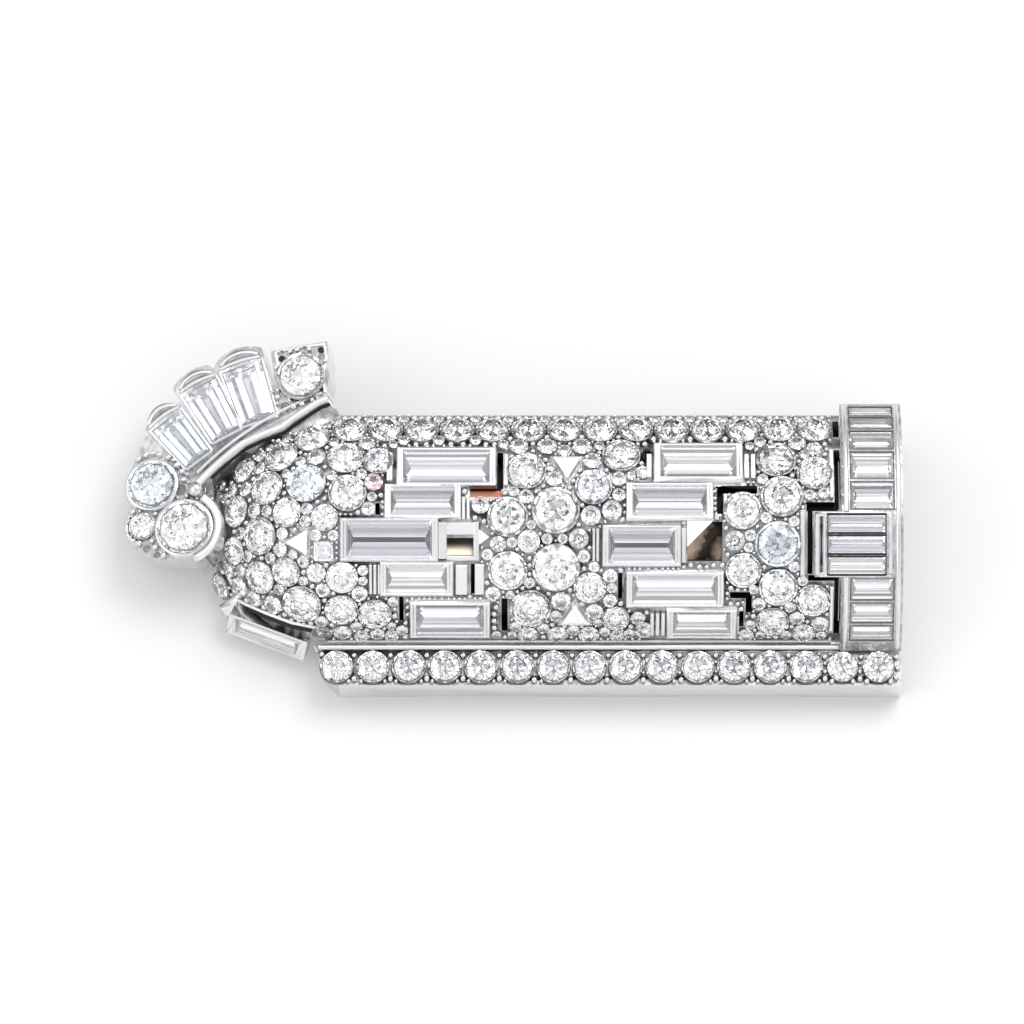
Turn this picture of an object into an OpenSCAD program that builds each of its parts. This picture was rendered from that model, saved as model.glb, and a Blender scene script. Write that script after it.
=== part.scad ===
// Dress clip: a barrel shaped plaque with a domed end, a front rail, an end band and a raised
// fan scroll, set with round, step cut and triangular stones over a sprung fitting.
// The origin is under the middle of the clip, on the surface that it rests on. X runs along the
// clip towards the end band, Y towards its back edge, and Z up.
//
// The face leans forward, and its stones are laid out on it in two measures: x along the clip,
// and up, the height above the middle line of the face as it is seen square on.

/* [Plaque] */
// Whole length of the clip
clip_len = 44.6; // [44.4:0.1:44.8]
// Radius of the barrel at the girdles of its stones
barrel_r = 8.15; // [8.1:0.05:8.25]
// Height of the middle of the barrel above the surface
axis_z = -0.95; // [-1.0:0.05:-0.9]
// Forward lean of the face, degrees
face_lean = 18; // [17:0.5:19]
// Thickness of the pierced plate
plate_t = 1.05; // [0.9:0.05:1.2]

/* [Rail and band] */
// Height of the front rail
rail_h = 2.3; // [2.1:0.1:2.5]
// Width of the front rail
rail_w = 2.05; // [2.0:0.05:2.1]
// Number of stones along the rail
rail_count = 16; // [12:1:16]
// Width of the end band
band_w = 3.5; // [3.45:0.05:3.55]

/* [Fan scroll] */
// Slope of the fan down towards its tip, degrees
fan_slope = 10; // [8:1:11]
// Thickness of the fan
fan_t = 1.9; // [1.8:0.1:2.1]

/* [Stones] */
// Width of a round stone's table, as a share of its girdle
table_share = 0.56; // [0.5:0.02:0.62]
// Height of a round stone's crown, as a share of half its width
crown_share = 0.32; // [0.26:0.02:0.36]
// Clearance between a stone and its setting
stone_gap = 0.05; // [0.04:0.01:0.06]
// Sides of the round stones in the fields
field_sides = 10; // [8:1:12]

/* [Fitting] */
// Length of the sprung flap
flap_len = 16; // [14:0.5:17]
// Width of the sprung flap
flap_w = 3.9; // [3.5:0.1:4.1]

/* [Hidden] */
platinum = [0.84, 0.85, 0.87];
gold = [0.72, 0.56, 0.36];
diamond = [0.93, 0.96, 0.99];
fine = 96;
half_len = clip_len / 2;

// The plate lies a little under the girdles, and its foot and back edge are angles on the barrel
sink = 0.2;
plate_r = barrel_r - sink;
foot_angle = -47;
back_angle = 63;
dome_x = -9.8;
dome_floor = 1.2;

// Walls under the plate, from front to back
front_wall_y = [-7.6, -6.7];
back_wall_y = [4.75, 5.5];
back_wall_h = 4.9;
rail_front = -9.87;
rail_back = rail_front + rail_w;
rail_mid = rail_front + rail_w / 2;
rail_left = [[-9.9, 0], [-10.75, 0.8], [-11.4, 2.35]];
relief_x = [-5.5, 9.4];
relief_len = 7.1;

// End band, its T and its place along the clip
band_x = half_len - band_w;
band_r = barrel_r + 0.47;
band_face_r = barrel_r + 0.55;
band_mid = half_len - 1.75;
plate_end_x = band_x + 0.4;
t_stem_x = 17.25;
t_reach = [-2.05, 1.45];

// Fan: the point of its top face over the corner of the plaque
fan_x = -11;
fan_z = 5.4;

// Girdles, pavilions and holes
girdle_t = 0.06;
pavilion_share = 0.84;
hole_share = 0.74;
pocket_t = 0.5;

// Columns of the charts: along, up or across, size, length, turn
X = 0;
UP = 1;
SIZE = 2;
LEN = 3;
TURN = 4;

// Step cut stones of the two clusters: middle along, middle up, width, length
clusters = [
    [-3.75,  4.10, 2.15, 5.1],
    [-5.10,  2.15, 1.65, 3.8],
    [-7.00, -0.05, 2.10, 5.0],
    [-5.45, -2.28, 1.65, 3.6],
    [-3.55, -4.63, 2.10, 4.0],
    [10.65,  4.40, 2.10, 4.5],
    [ 9.00,  2.17, 1.80, 4.4],
    [ 7.40, -0.38, 2.00, 3.9],
    [ 9.30, -2.88, 1.80, 5.0],
    [10.85, -4.85, 1.70, 3.4],
];
collet_end = 0.3;
collet_side = 0.2;
collet_lift = 0.1;

// Stones across the band: lowest and highest point up the face
LOW = 0;
HIGH = 1;
band_rows = [
    [ 7.05,  7.50],
    [ 6.28,  6.90],
    [ 5.12,  6.08],
    [ 3.45,  4.90],
    [ 1.75,  3.20],
    [-3.42, -2.30],
    [-4.72, -3.68],
    [-5.75, -4.95],
];
band_stone_len = 2.45;

// Stones along the T of the band: their heights, length, width and place
t_rows = [0.87, -0.33, -1.53];
t_stone_len = 3.3;
t_stone_w = 0.95;
t_stone_x = 19.65;

// Large round stones in the middle of the face: along, up, radius
centre_rounds = [
    [2.5,  1.60, 1.24],
    [2.5, -1.62, 1.28],
];

// Round stones between the clusters: along, up, radius
centre_field = [
    [-0.25,  1.25, 1.04],
    [-0.25, -1.80, 1.02],
    [ 0.95, -0.15, 0.58],
    [ 0.80,  3.85, 1.02],
    [ 4.65,  2.95, 0.95],
    [ 4.45, -2.78, 0.84],
    [ 1.05, -3.95, 1.06],
    [ 6.25,  4.75, 0.98],
    [ 5.92, -4.55, 0.72],
    [ 7.45,  3.82, 0.36],
    [ 7.55, -5.25, 0.50],
];

// Round stones between the right cluster and the band: along, up, radius
end_field = [
    [13.15,  1.60, 0.98],
    [13.20, -1.80, 0.92],
    [15.15, -0.30, 1.18],
    [15.40,  2.40, 1.08],
    [15.10,  4.50, 1.02],
    [15.20, -2.75, 1.00],
    [17.30,  3.75, 0.92],
    [17.20, -3.50, 0.90],
    [14.90, -4.72, 0.86],
    [17.30,  5.17, 0.42],
];

// Round stones of the domed end: along, up, radius
dome_field = [
    [ -9.55,  4.60, 0.96],
    [ -9.40,  2.60, 0.98],
    [ -9.70, -2.20, 0.84],
    [ -9.75, -4.05, 0.88],
    [ -7.65,  4.45, 0.80],
    [ -7.85, -4.30, 0.88],
    [-10.70,  1.20, 0.70],
    [-11.18, -1.95, 0.50],
    [-11.45,  5.75, 0.92],
    [-11.75,  3.15, 1.06],
    [-12.00, -3.70, 1.02],
    [-12.85,  1.50, 0.78],
    [-12.90, -1.90, 0.78],
    [-13.20,  4.70, 0.92],
    [-14.00,  2.90, 0.92],
    [-14.40,  0.15, 0.96],
    [-14.42, -2.20, 0.90],
    [-15.35,  3.90, 0.82],
    [-15.80,  1.55, 0.92],
    [-15.92, -0.70, 0.80],
    [-16.62,  3.00, 0.38],
];
dome_square = [-10.75, -0.70, 1.1];
tip_round = [-16.75, -2.75, 0.76];

// Small round stones along the foot: along, up, radius
foot_field = [
    [-10.9, -5.45, 0.58],
    [ -8.6, -5.60, 0.44],
    [ -6.9, -5.58, 0.42],
    [  0.9, -5.50, 0.58],
    [  2.6, -5.50, 0.60],
    [  4.4, -5.50, 0.60],
    [  6.0, -5.58, 0.42],
    [ 13.4, -5.55, 0.45],
    [ 16.7, -5.40, 0.62],
];

// Triangular stones: along, up, reach of a corner, turn of the first corner on the face
CORNER = 3;
centre_triangles = [
    [3.15,  4.15, 1.15, -90],
    [3.60, -4.40, 1.15,  90],
];
dome_triangle = [-12.05, -0.20, 1.05, 180];
triangle_lift = 0.34;

// Row of round stones along the back edge
top_count = 14;
top_span = [-9.3, 17.35];
top_up = 6.22;
top_r = 0.9;

// Row of round stones along the rail
rail_span = [-10.05, 21];
rail_r = 0.88;

// Gaps sawn through the plate: along from, along to, up from, up to
sawn_gaps = [
    [-0.85, -0.50,  2.90,  5.05],
    [-2.40, -0.60,  2.45,  2.92],
    [-3.75, -1.80,  0.30,  0.95],
    [-3.75, -1.80, -0.95,  0.05],
    [-2.35, -1.60, -3.20, -1.45],
    [-0.60, -0.25, -5.40, -3.50],
    [-6.45, -6.20, -4.80, -3.30],
    [-7.80, -7.55,  1.40,  2.10],
    [11.95, 14.00,  2.64,  3.10],
    [11.70, 12.06,  1.45,  3.06],
    [10.00, 12.00, -1.30,  1.00],
    [12.45, 13.62, -3.48, -3.12],
    [13.35, 13.70, -4.30, -3.30],
    [13.00, 13.25, -5.15, -4.20],
    [ 6.05,  6.30, -3.50, -2.00],
    [18.40, 18.74,  5.95,  6.90],
    [18.40, 18.74,  1.70,  5.20],
    [16.80, 18.60,  1.62,  2.15],
    [16.86, 17.15, -2.05,  1.95],
    [16.90, 18.60, -2.45, -2.12],
    [18.40, 18.74, -5.55, -2.20],
];

// Tapered stones of the fan: along, across, length, inner width, turn, outer width, outer rim
fan_leaves = [
    [-15.09, 6.97, 3.45, 2.05, 18, 2.35, 1.18],
    [-17.25, 6.04, 3.35, 1.75, 29, 2.15, 1.18],
    [-19.00, 4.38, 3.05, 1.65, 38, 2.00, 0.75],
];
LEAF_LEN = 2;
INNER = 3;
OUTER = 5;
OUTER_RIM = 6;
leaf_wall = 0.3;
leaf_bow = 2.4;

// Round stones of the scroll: along, across, radius
scroll_rounds = [
    [-12.10,  7.75, 1.28],
    [-20.65,  1.65, 1.30],
    [-18.75, -1.05, 1.46],
    [-21.20, -0.80, 0.70],
];
scroll_wall = 0.36;
scroll_eye = [-19.85, -0.50, 2.34];

// Small holes drilled beside those stones: along, across, radius
scroll_holes = [
    [-20.95, -2.10, 0.24],
    [-20.35, -2.52, 0.20],
    [-19.05,  1.35, 0.34],
    [-13.05,  6.05, 0.28],
    [-10.98,  8.95, 0.20],
];

// Outline of the fan's setting beside the plaque, and of the metal behind its rim
fan_corner = [
    [-13.90, 9.45],
    [-12.40, 9.70],
    [-10.65, 9.86],
    [-10.55, 8.90],
    [-10.75, 7.60],
    [-10.60, 6.60],
    [ -9.90, 5.30],
    [-11.40, 4.60],
    [-13.30, 4.30],
];
fan_filling = [
    [-13.00, 7.00],
    [-13.00, 5.20],
    [-14.50, 4.45],
    [-16.60, 3.00],
    [-17.90, 1.60],
    [-18.30, 0.40],
    [-20.60, 1.20],
    [-22.00, 2.50],
    [-21.65, 3.40],
    [-21.15, 4.70],
    [-17.50, 5.00],
    [-15.00, 7.00],
];

// Low web between the fan and the dome, behind the curl
fan_web = [
    [-16.80, 3.30],
    [-17.20, 2.35],
    [-17.35, 1.20],
    [-17.40, 0.30],
    [-18.40, 0.30],
    [-18.30, 1.80],
    [-17.40, 3.40],
];
web_t = 0.7;

// Inner rim of the fan: a long arc through three points, a curl round a stone and its bud
rim_w = 0.42;
rim_lift = 0.5;
rim_points = [[-10.5, 6.2], [-14.5, 4.35], [-17.95, 1.5]];
curl_r = 2.05;
curl_span = [-72, 60];
curl_bud = [-18.1, 1.2, 0.36];

// Corner bar: its middle, its turn seen from above, the lean of its face and its size
bar_at = [-14.1, -6.85, 1.75];
bar_turn = -21;
bar_lean = 60;
bar_len = 4.8;
bar_w = 1.5;
bar_t = 0.9;
bar_stone = [3.7, 0.85];
bar_gap = 0.45;

// Curved foot between the corner bar and the tip
tip_foot_span = [215.5, 226];
tip_foot_r = [7.2, 8.65];
tip_foot_z = [1, 2];
lobe_floor = 0.35;

// Bridge under the plaque, and the hinge of the sprung flap
bridge_x = 11;
bridge_w = 1.2;
bridge_z = [0.5, 1.6];
hinge_x = 9.6;
hinge_z = 1.85;
hinge_r = 0.95;
pin_r = 0.45;
lug_y = [2.15, 2.95];
flap_z = 0.55;
flap_t = 0.7;
prong_x = -3.8;
prong_y = 1.2;
prong_r = 0.32;

// Angle up the barrel of a height on the face
function rise(up, r = barrel_r) = asin(up / r);

// One closed ring of points at height z
function ring(r, n, z) = [for (i = [0 : n - 1]) [r * cos(360 * i / n), r * sin(360 * i / n), z]];

// Corners of a stone whose back and front edges may differ in width, its length along Y
function oblong(length, back, front, cut, z) =
    let (taper = (back - front) * cut / length)
    [
        [(back - taper) / 2 - cut, length / 2 - cut, z],
        [-(back - taper) / 2 + cut, length / 2 - cut, z],
        [-(front + taper) / 2 + cut, -length / 2 + cut, z],
        [(front + taper) / 2 - cut, -length / 2 + cut, z],
    ];

// Middle of the circle through three points
function circle_mid(a, b, c) =
    let (turn = 2 * (a.x * (b.y - c.y) + b.x * (c.y - a.y) + c.x * (a.y - b.y)))
    [
        (a * a * (b.y - c.y) + b * b * (c.y - a.y) + c * c * (a.y - b.y)) / turn,
        (a * a * (c.x - b.x) + b * b * (a.x - c.x) + c * c * (b.x - a.x)) / turn,
    ];

function bearing(from, to) = (atan2(to.y - from.y, to.x - from.x) + 360) % 360;

// Place of stone i in a row of count stones
function along(span, i, count) = span[0] + (span[1] - span[0]) * i / (count - 1);

// Height of a round stone's girdle over the metal, so that it clears the edge of its hole
function round_lift(r) = girdle_t + pavilion_share * ((1 - hole_share) * r + stone_gap);

// Angle and width of a stone across the band
function band_angle(row) = (rise(row[HIGH], band_r) + rise(row[LOW], band_r)) / 2;
function band_width(row) = (rise(row[HIGH], band_r) - rise(row[LOW], band_r)) * PI / 180 * band_r;

// Place along the fan's own plane of a place along the clip
function fan_along(x) = (x - fan_x) / cos(fan_slope);
function fan_point(p) = [fan_along(p.x), p.y];

// Faces through a stack of rings of n points, from the table down
function table_face(n) = [[for (i = [n - 1 : -1 : 0]) i]];
function side_faces(n, last) = [for (k = [0 : last - 1], i = [0 : n - 1])
    [k * n + i, k * n + (i + 1) % n, (k + 1) * n + (i + 1) % n, (k + 1) * n + i]];

// Solid through a stack of rings, closed by a flat culet
module cut_stone(rings) {
    n = len(rings[0]);
    last = len(rings) - 1;
    culet = [[for (i = [0 : n - 1]) last * n + i]];
    polyhedron([for (one = rings) each one], concat(table_face(n), side_faces(n, last), culet));
}

// Round stone with its girdle's upper edge at z = 0, closed by a point
module round_stone(r, n = field_sides) {
    rings = [ring(r * table_share, n, r * crown_share), ring(r, n, 0), ring(r, n, -girdle_t)];
    points = concat([for (one = rings) each one], [[0, 0, -girdle_t - r * pavilion_share]]);
    pavilion = [for (i = [0 : n - 1]) [2 * n + i, 2 * n + (i + 1) % n, 3 * n]];
    polyhedron(points, concat(table_face(n), side_faces(n, 2), pavilion));
}

// Step cut stone with its girdle's upper edge at z = 0, its length along Y
module step_stone(length, back, front) {
    narrow = min(back, front);
    cut_stone([
        oblong(length, back, front, narrow * 0.17, narrow * 0.11),
        oblong(length, back, front, 0, 0),
        oblong(length, back, front, 0, -girdle_t),
        oblong(length, back, front, narrow * 0.46, -girdle_t - narrow * 0.45),
    ]);
}

// Triangular stone with its corners at the given reach
module triangle_stone(reach) {
    cut_stone([
        ring(reach * 0.5, 3, 0.17),
        ring(reach * 0.8, 3, 0.1),
        ring(reach, 3, 0),
        ring(reach, 3, -girdle_t),
        ring(reach * 0.1, 3, -0.5),
    ]);
}

// Places a piece on the barrel or on the dome, its z axis along the surface's normal
module on_face(x, up) {
    over = min(0, x - dome_x);
    depth = sqrt(barrel_r * barrel_r - over * over - up * up);
    translate([max(x, dome_x), 0, axis_z])
        rotate([face_lean - atan2(up, depth), 0, 0])
            rotate([0, asin(over / barrel_r), 0])
                translate([0, 0, barrel_r])
                    children();
}

// Places a piece at an angle up the band, its y axis along the clip
module on_band(angle, x = band_mid) {
    translate([x, 0, axis_z])
        rotate([face_lean - angle, 0, 0])
            translate([0, 0, band_r])
                rotate([0, 0, 90])
                    children();
}

// Places a piece on the top face of the fan, by its place seen from above
module on_fan(x = fan_x, y = 0) {
    translate([fan_x, 0, fan_z])
        rotate([0, -fan_slope, 0])
            translate([fan_along(x), y, 0])
                children();
}

// Places a piece on the face of the corner bar
module on_bar() {
    translate(bar_at)
        rotate([0, 0, bar_turn])
            rotate([bar_lean, 0, 0])
                children();
}

// Hole of a round stone, from a little above the metal down
module round_hole(r, depth, above = 0.3) {
    translate([0, 0, -depth])
        cylinder(h = depth + above, r = r * hole_share, $fn = 48);
}

// Pocket of a step cut stone, its length along Y, with a narrower window under it
module step_pocket(length, back, front, depth = 1.5) {
    ledge = min(0.3, min(back, front) * 0.25);
    translate([0, 0, -pocket_t])
        linear_extrude(pocket_t + 1)
            polygon([for (p = oblong(length, back, front, -stone_gap, 0)) [p.x, p.y]]);
    translate([0, 0, -depth])
        linear_extrude(depth)
            polygon([for (p = oblong(length, back, front, ledge, 0)) [p.x, p.y]]);
}

// Wall between two radii of the barrel and two angles up the face
module barrel_sector(inner, outer, x_from, x_to, angle_from, angle_to) {
    translate([0, 0, axis_z])
        rotate([face_lean, 0, 0])
            rotate([0, -90, 0])
                rotate([0, 0, angle_from])
                    rotate_extrude(angle = angle_to - angle_from, $fn = fine)
                        translate([inner, -x_to])
                            square([outer - inner, x_to - x_from]);
}

// Outline of the barrel and its domed end at one radius, beside the barrel's axis
module bullet_outline(r, x_to) {
    translate([0, -x_to])
        square([r, x_to - dome_x]);
    intersection() {
        translate([0, -dome_x])
            circle(r, $fn = fine);
        translate([0, -dome_x - 0.2])
            square(r + 1);
    }
}

// Plate before it is pierced: a barrel with a domed end, whose tip stops above the surface
module plaque_shell() {
    difference() {
        translate([0, 0, axis_z])
            rotate([face_lean, 0, 0])
                rotate([0, -90, 0])
                    rotate([0, 0, foot_angle])
                        rotate_extrude(angle = back_angle - foot_angle, $fn = fine)
                            difference() {
                                bullet_outline(plate_r, plate_end_x);
                                bullet_outline(plate_r - plate_t, plate_end_x + 1);
                            }
        translate([-half_len, -half_len, dome_floor - half_len])
            cube([half_len + dome_x, 2 * half_len, half_len]);
    }
}

// Wall under the back edge
module back_wall() {
    translate([dome_x - 0.4, back_wall_y[0], 0])
        cube([half_len - dome_x + 0.2, back_wall_y[1] - back_wall_y[0], back_wall_h]);
}

// Front rail, hollow from below and relieved at its foot, with the wall and wire behind it
module rail() {
    outline = concat(
        [[half_len, rail_front]],
        [for (p = rail_left) [p.x, rail_front + p.y]],
        [[half_len, rail_back + 0.3]]
    );
    difference() {
        linear_extrude(rail_h)
            polygon(outline);
        translate([dome_x + 0.6, rail_front + 0.6, -1])
            cube([half_len - dome_x - 1.2, rail_w - 0.55, rail_h]);
        for (x = relief_x)
            translate([x, rail_front - 1, -1])
                cube([relief_len, 1.3, 1.3]);
    }
    translate([-10.6, front_wall_y[0], 0])
        cube([half_len + 10.5, front_wall_y[1] - front_wall_y[0], rail_h - 0.05]);
    translate([-11.2, rail_back - 0.05, rail_h - 0.3])
        cube([band_x + 11.4, 0.32, 0.72]);
}

// End band and the stem of its T
module band() {
    inner = plate_r - plate_t - 0.06;
    barrel_sector(inner, band_face_r, band_x, half_len, foot_angle - 0.6, back_angle - 0.3);
    barrel_sector(
        inner + 0.2,
        band_face_r - 0.06,
        t_stem_x,
        band_x + 0.4,
        rise(t_reach[LOW]),
        rise(t_reach[HIGH])
    );
}

// Walls round one step cut stone of a cluster
module collet(one) {
    depth = 1.2;
    length = one[LEN] + 2 * collet_end;
    width = one[SIZE] + 2 * collet_side;
    on_face(one[X], one[UP])
        translate([-length / 2, -width / 2, -depth])
            cube([length, width, depth + collet_lift]);
}

// Setting of one tapered stone, with a bowed outer end
module leaf_outline(length, inner, outer, outer_rim) {
    tip = length / 2 + outer_rim;
    heel = length / 2 + leaf_wall;
    intersection() {
        polygon([[outer / 2, tip], [-outer / 2, tip], [-inner / 2, -heel], [inner / 2, -heel]]);
        union() {
            translate([0, tip - leaf_bow])
                circle(leaf_bow, $fn = 64);
            translate([-outer, -heel - 1])
                square([2 * outer, 2 * heel]);
        }
    }
}

// Settings and filling of the fan, seen square on
module fan_outline() {
    for (leaf = fan_leaves)
        translate(fan_point(leaf))
            rotate(leaf[TURN])
                leaf_outline(
                    leaf[LEAF_LEN],
                    leaf[INNER] + 2 * leaf_wall,
                    leaf[OUTER] + 2 * leaf_wall,
                    leaf[OUTER_RIM]
                );
    for (one = scroll_rounds)
        translate(fan_point(one))
            circle(one[SIZE] + scroll_wall, $fn = 64);
    translate(fan_point(scroll_eye))
        circle(scroll_eye[SIZE], $fn = 64);
    polygon([for (p = fan_corner) fan_point(p)]);
    polygon([for (p = fan_filling) fan_point(p)]);
}

// Wire along an arc, seen square on the fan
module rim_arc(middle, r, from, to) {
    step = (to - from) / 3;
    intersection() {
        difference() {
            translate(middle)
                circle(r + rim_w / 2, $fn = 128);
            translate(middle)
                circle(r - rim_w / 2, $fn = 128);
        }
        polygon(concat(
            [middle],
            [for (i = [0 : 3]) middle + (r + 3) * [cos(from + i * step), sin(from + i * step)]]
        ));
    }
}

module fan() {
    on = [for (p = rim_points) fan_point(p)];
    rim_mid = circle_mid(on[0], on[1], on[2]);
    curl_mid = fan_point(scroll_rounds[2]);
    on_fan() {
        translate([0, 0, -fan_t])
            linear_extrude(fan_t)
                fan_outline();
        translate([0, 0, -fan_t + 0.05])
            linear_extrude(web_t)
                polygon([for (p = fan_web) fan_point(p)]);
        translate([0, 0, -fan_t + 0.1])
            linear_extrude(fan_t - 0.1 + rim_lift)
                rim_arc(rim_mid, norm(on[0] - rim_mid), bearing(rim_mid, on[0]), bearing(rim_mid, on[2]));
        translate([0, 0, -fan_t + 0.15])
            linear_extrude(fan_t - 0.2 + rim_lift)
                rim_arc(curl_mid, curl_r, curl_span[0], curl_span[1]);
        translate(concat(fan_point(curl_bud), [-fan_t + 0.2]))
            cylinder(h = fan_t + rim_lift, r = curl_bud[SIZE], $fn = 32);
    }
}

// Corner bar, the curved foot beside it and the lobe at the tip
module corner() {
    on_bar()
        translate([-bar_len / 2, -bar_w / 2, -bar_t])
            cube([bar_len, bar_w, bar_t]);
    translate([dome_x, 0, tip_foot_z[0]])
        rotate([0, 0, tip_foot_span[0]])
            rotate_extrude(angle = tip_foot_span[1] - tip_foot_span[0], $fn = fine)
                translate([tip_foot_r[0], 0])
                    square([tip_foot_r[1] - tip_foot_r[0], tip_foot_z[1] - tip_foot_z[0]]);
    difference() {
        on_face(tip_round[X], tip_round[UP])
            translate([0, 0, -1.4])
                cylinder(h = 1.4 - sink - 0.01, r = tip_round[SIZE] + 0.26, $fn = 48);
        translate([-half_len, -half_len, lobe_floor - half_len])
            cube([half_len, half_len, half_len]);
    }
}

// Bridge between the two walls, with the lugs that hold the fitting's pin
module bridge() {
    lug_t = lug_y[1] - lug_y[0];
    translate([bridge_x, front_wall_y[1] - 0.3, bridge_z[0]])
        cube([bridge_w, back_wall_y[0] - front_wall_y[1] + 0.6, bridge_z[1] - bridge_z[0]]);
    for (side = [-1, 1])
        translate([hinge_x, side * (lug_y[0] + lug_y[1]) / 2, hinge_z])
            rotate([90, 0, 0])
                difference() {
                    union() {
                        cylinder(h = lug_t, r = hinge_r, center = true, $fn = 48);
                        translate([0, -hinge_r - 0.1, -lug_t / 2 + 0.02])
                            cube([bridge_x + 0.3 - hinge_x, 1.5, lug_t - 0.04]);
                    }
                    cylinder(h = 4, r = pin_r + stone_gap, center = true, $fn = 48);
                }
}

// Seats and gaps of the plaque
module face_cuts() {
    hole_depth = plate_t + sink + 0.3;
    for (one = clusters)
        on_face(one[X], one[UP])
            rotate([0, 0, 90])
                step_pocket(one[LEN], one[SIZE], one[SIZE]);
    for (one = concat(centre_rounds, centre_field, end_field, dome_field, foot_field, [tip_round]))
        on_face(one[X], one[UP])
            round_hole(one[SIZE], hole_depth);
    for (i = [0 : top_count - 1])
        on_face(along(top_span, i, top_count), top_up)
            round_hole(top_r, hole_depth);
    for (one = concat(centre_triangles, [dome_triangle]))
        on_face(one[X], one[UP])
            rotate([0, 0, one[CORNER]])
                translate([0, 0, -hole_depth])
                    cylinder(h = hole_depth + 0.3, r = one[SIZE] * 0.6, $fn = 3);
    on_face(dome_square[X], dome_square[UP])
        translate([-dome_square[SIZE] * 0.37, -dome_square[SIZE] * 0.37, -hole_depth])
            cube([dome_square[SIZE] * 0.74, dome_square[SIZE] * 0.74, hole_depth + 0.3]);
    for (gap = sawn_gaps)
        barrel_sector(barrel_r - 1.8, barrel_r + 1.2, gap[0], gap[1], rise(gap[2]), rise(gap[3]));
}

// Seats of the band, the rail, the fan and the corner bar
module border_cuts() {
    for (row = band_rows)
        on_band(band_angle(row))
            step_pocket(band_stone_len, band_width(row), band_width(row), 2);
    for (up = t_rows)
        on_band(rise(up, band_r), t_stone_x)
            step_pocket(t_stone_len, t_stone_w, t_stone_w, 2);
    for (i = [0 : rail_count - 1])
        translate([along(rail_span, i, rail_count), rail_mid, rail_h])
            round_hole(rail_r, 1.4);
    for (leaf = fan_leaves)
        on_fan(leaf[X], leaf[UP])
            rotate([0, 0, leaf[TURN]])
                step_pocket(leaf[LEAF_LEN], leaf[OUTER], leaf[INNER], fan_t + 0.5);
    for (one = scroll_rounds)
        on_fan(one[X], one[UP])
            round_hole(one[SIZE], fan_t + 0.5);
    for (one = scroll_holes)
        on_fan(one[X], one[UP])
            translate([0, 0, -fan_t - 2])
                cylinder(h = fan_t + 3, r = one[SIZE], $fn = 24);
    on_bar()
        rotate([0, 0, 90])
            step_pocket(bar_stone[0], bar_stone[1], bar_stone[1], bar_t + 0.4);
    on_bar()
        translate([-bar_len / 2 + 0.25, bar_w / 2, -2.2])
            cube([bar_len - 0.5, bar_gap, 3.6]);
}

// Soldered metal of the whole clip
module mount() {
    color(platinum)
        difference() {
            union() {
                plaque_shell();
                back_wall();
                rail();
                band();
                for (one = clusters)
                    collet(one);
                fan();
                corner();
                bridge();
            }
            face_cuts();
            border_cuts();
        }
}

// Sprung flap with its hinge barrel, pin and two prongs
module clip_fitting() {
    end_x = hinge_x - flap_len;
    color(gold) {
        translate([hinge_x, 0, hinge_z])
            rotate([90, 0, 0]) {
                cylinder(h = 2 * lug_y[0] - 0.3, r = hinge_r, center = true, $fn = 48);
                cylinder(h = 2 * lug_y[1] + 0.3, r = pin_r, center = true, $fn = 48);
            }
        translate([end_x + flap_w / 2, -flap_w / 2, flap_z])
            cube([hinge_x - end_x - flap_w / 2, flap_w, flap_t]);
        translate([end_x + flap_w / 2, 0, flap_z])
            cylinder(h = flap_t, r = flap_w / 2, $fn = 64);
        translate([hinge_x - 0.7, -flap_w / 2 + 0.05, flap_z + 0.1])
            cube([1.2, flap_w - 0.1, 1.3]);
        for (side = [-1, 1])
            translate([prong_x, side * prong_y, flap_z + flap_t / 2]) {
                cylinder(h = 1.9, r = prong_r, $fn = 24);
                translate([0, 0, 1.9])
                    cylinder(h = 0.9, r1 = prong_r, r2 = 0.06, $fn = 24);
            }
    }
}

module baguette(one) {
    color(diamond)
        on_face(one[X], one[UP])
            rotate([0, 0, 90])
                step_stone(one[LEN], one[SIZE], one[SIZE]);
}

module band_stone(row) {
    color(diamond)
        on_band(band_angle(row))
            step_stone(band_stone_len, band_width(row), band_width(row));
}

module t_stone(up) {
    color(diamond)
        on_band(rise(up, band_r), t_stone_x)
            step_stone(t_stone_len, t_stone_w, t_stone_w);
}

module fan_baguette(leaf) {
    color(diamond)
        on_fan(leaf[X], leaf[UP])
            rotate([0, 0, leaf[TURN]])
                step_stone(leaf[LEAF_LEN], leaf[OUTER], leaf[INNER]);
}

module scroll_round(one) {
    color(diamond)
        on_fan(one[X], one[UP])
            translate([0, 0, round_lift(one[SIZE])])
                round_stone(one[SIZE], 16);
}

module face_round(one, sides = field_sides) {
    color(diamond)
        on_face(one[X], one[UP])
            translate([0, 0, round_lift(one[SIZE]) - sink])
                round_stone(one[SIZE], sides);
}

module face_triangle(one) {
    color(diamond)
        on_face(one[X], one[UP])
            rotate([0, 0, one[CORNER]])
                translate([0, 0, triangle_lift - sink])
                    triangle_stone(one[SIZE]);
}

module corner_bar() {
    color(diamond)
        on_bar()
            rotate([0, 0, 90])
                step_stone(bar_stone[0], bar_stone[1], bar_stone[1]);
}

module rail_stones() {
    color(diamond)
        for (i = [0 : rail_count - 1])
            translate([along(rail_span, i, rail_count), rail_mid, rail_h + round_lift(rail_r)])
                round_stone(rail_r);
}

module top_row() {
    for (i = [0 : top_count - 1])
        face_round([along(top_span, i, top_count), top_up, top_r]);
}

module foot_row() {
    for (one = foot_field)
        face_round(one);
}

module dome_pave() {
    for (one = concat(dome_field, [tip_round]))
        face_round(one);
    face_triangle(dome_triangle);
    color(diamond)
        on_face(dome_square[X], dome_square[UP])
            translate([0, 0, 0.12])
                step_stone(dome_square[SIZE], dome_square[SIZE], dome_square[SIZE]);
}

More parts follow.
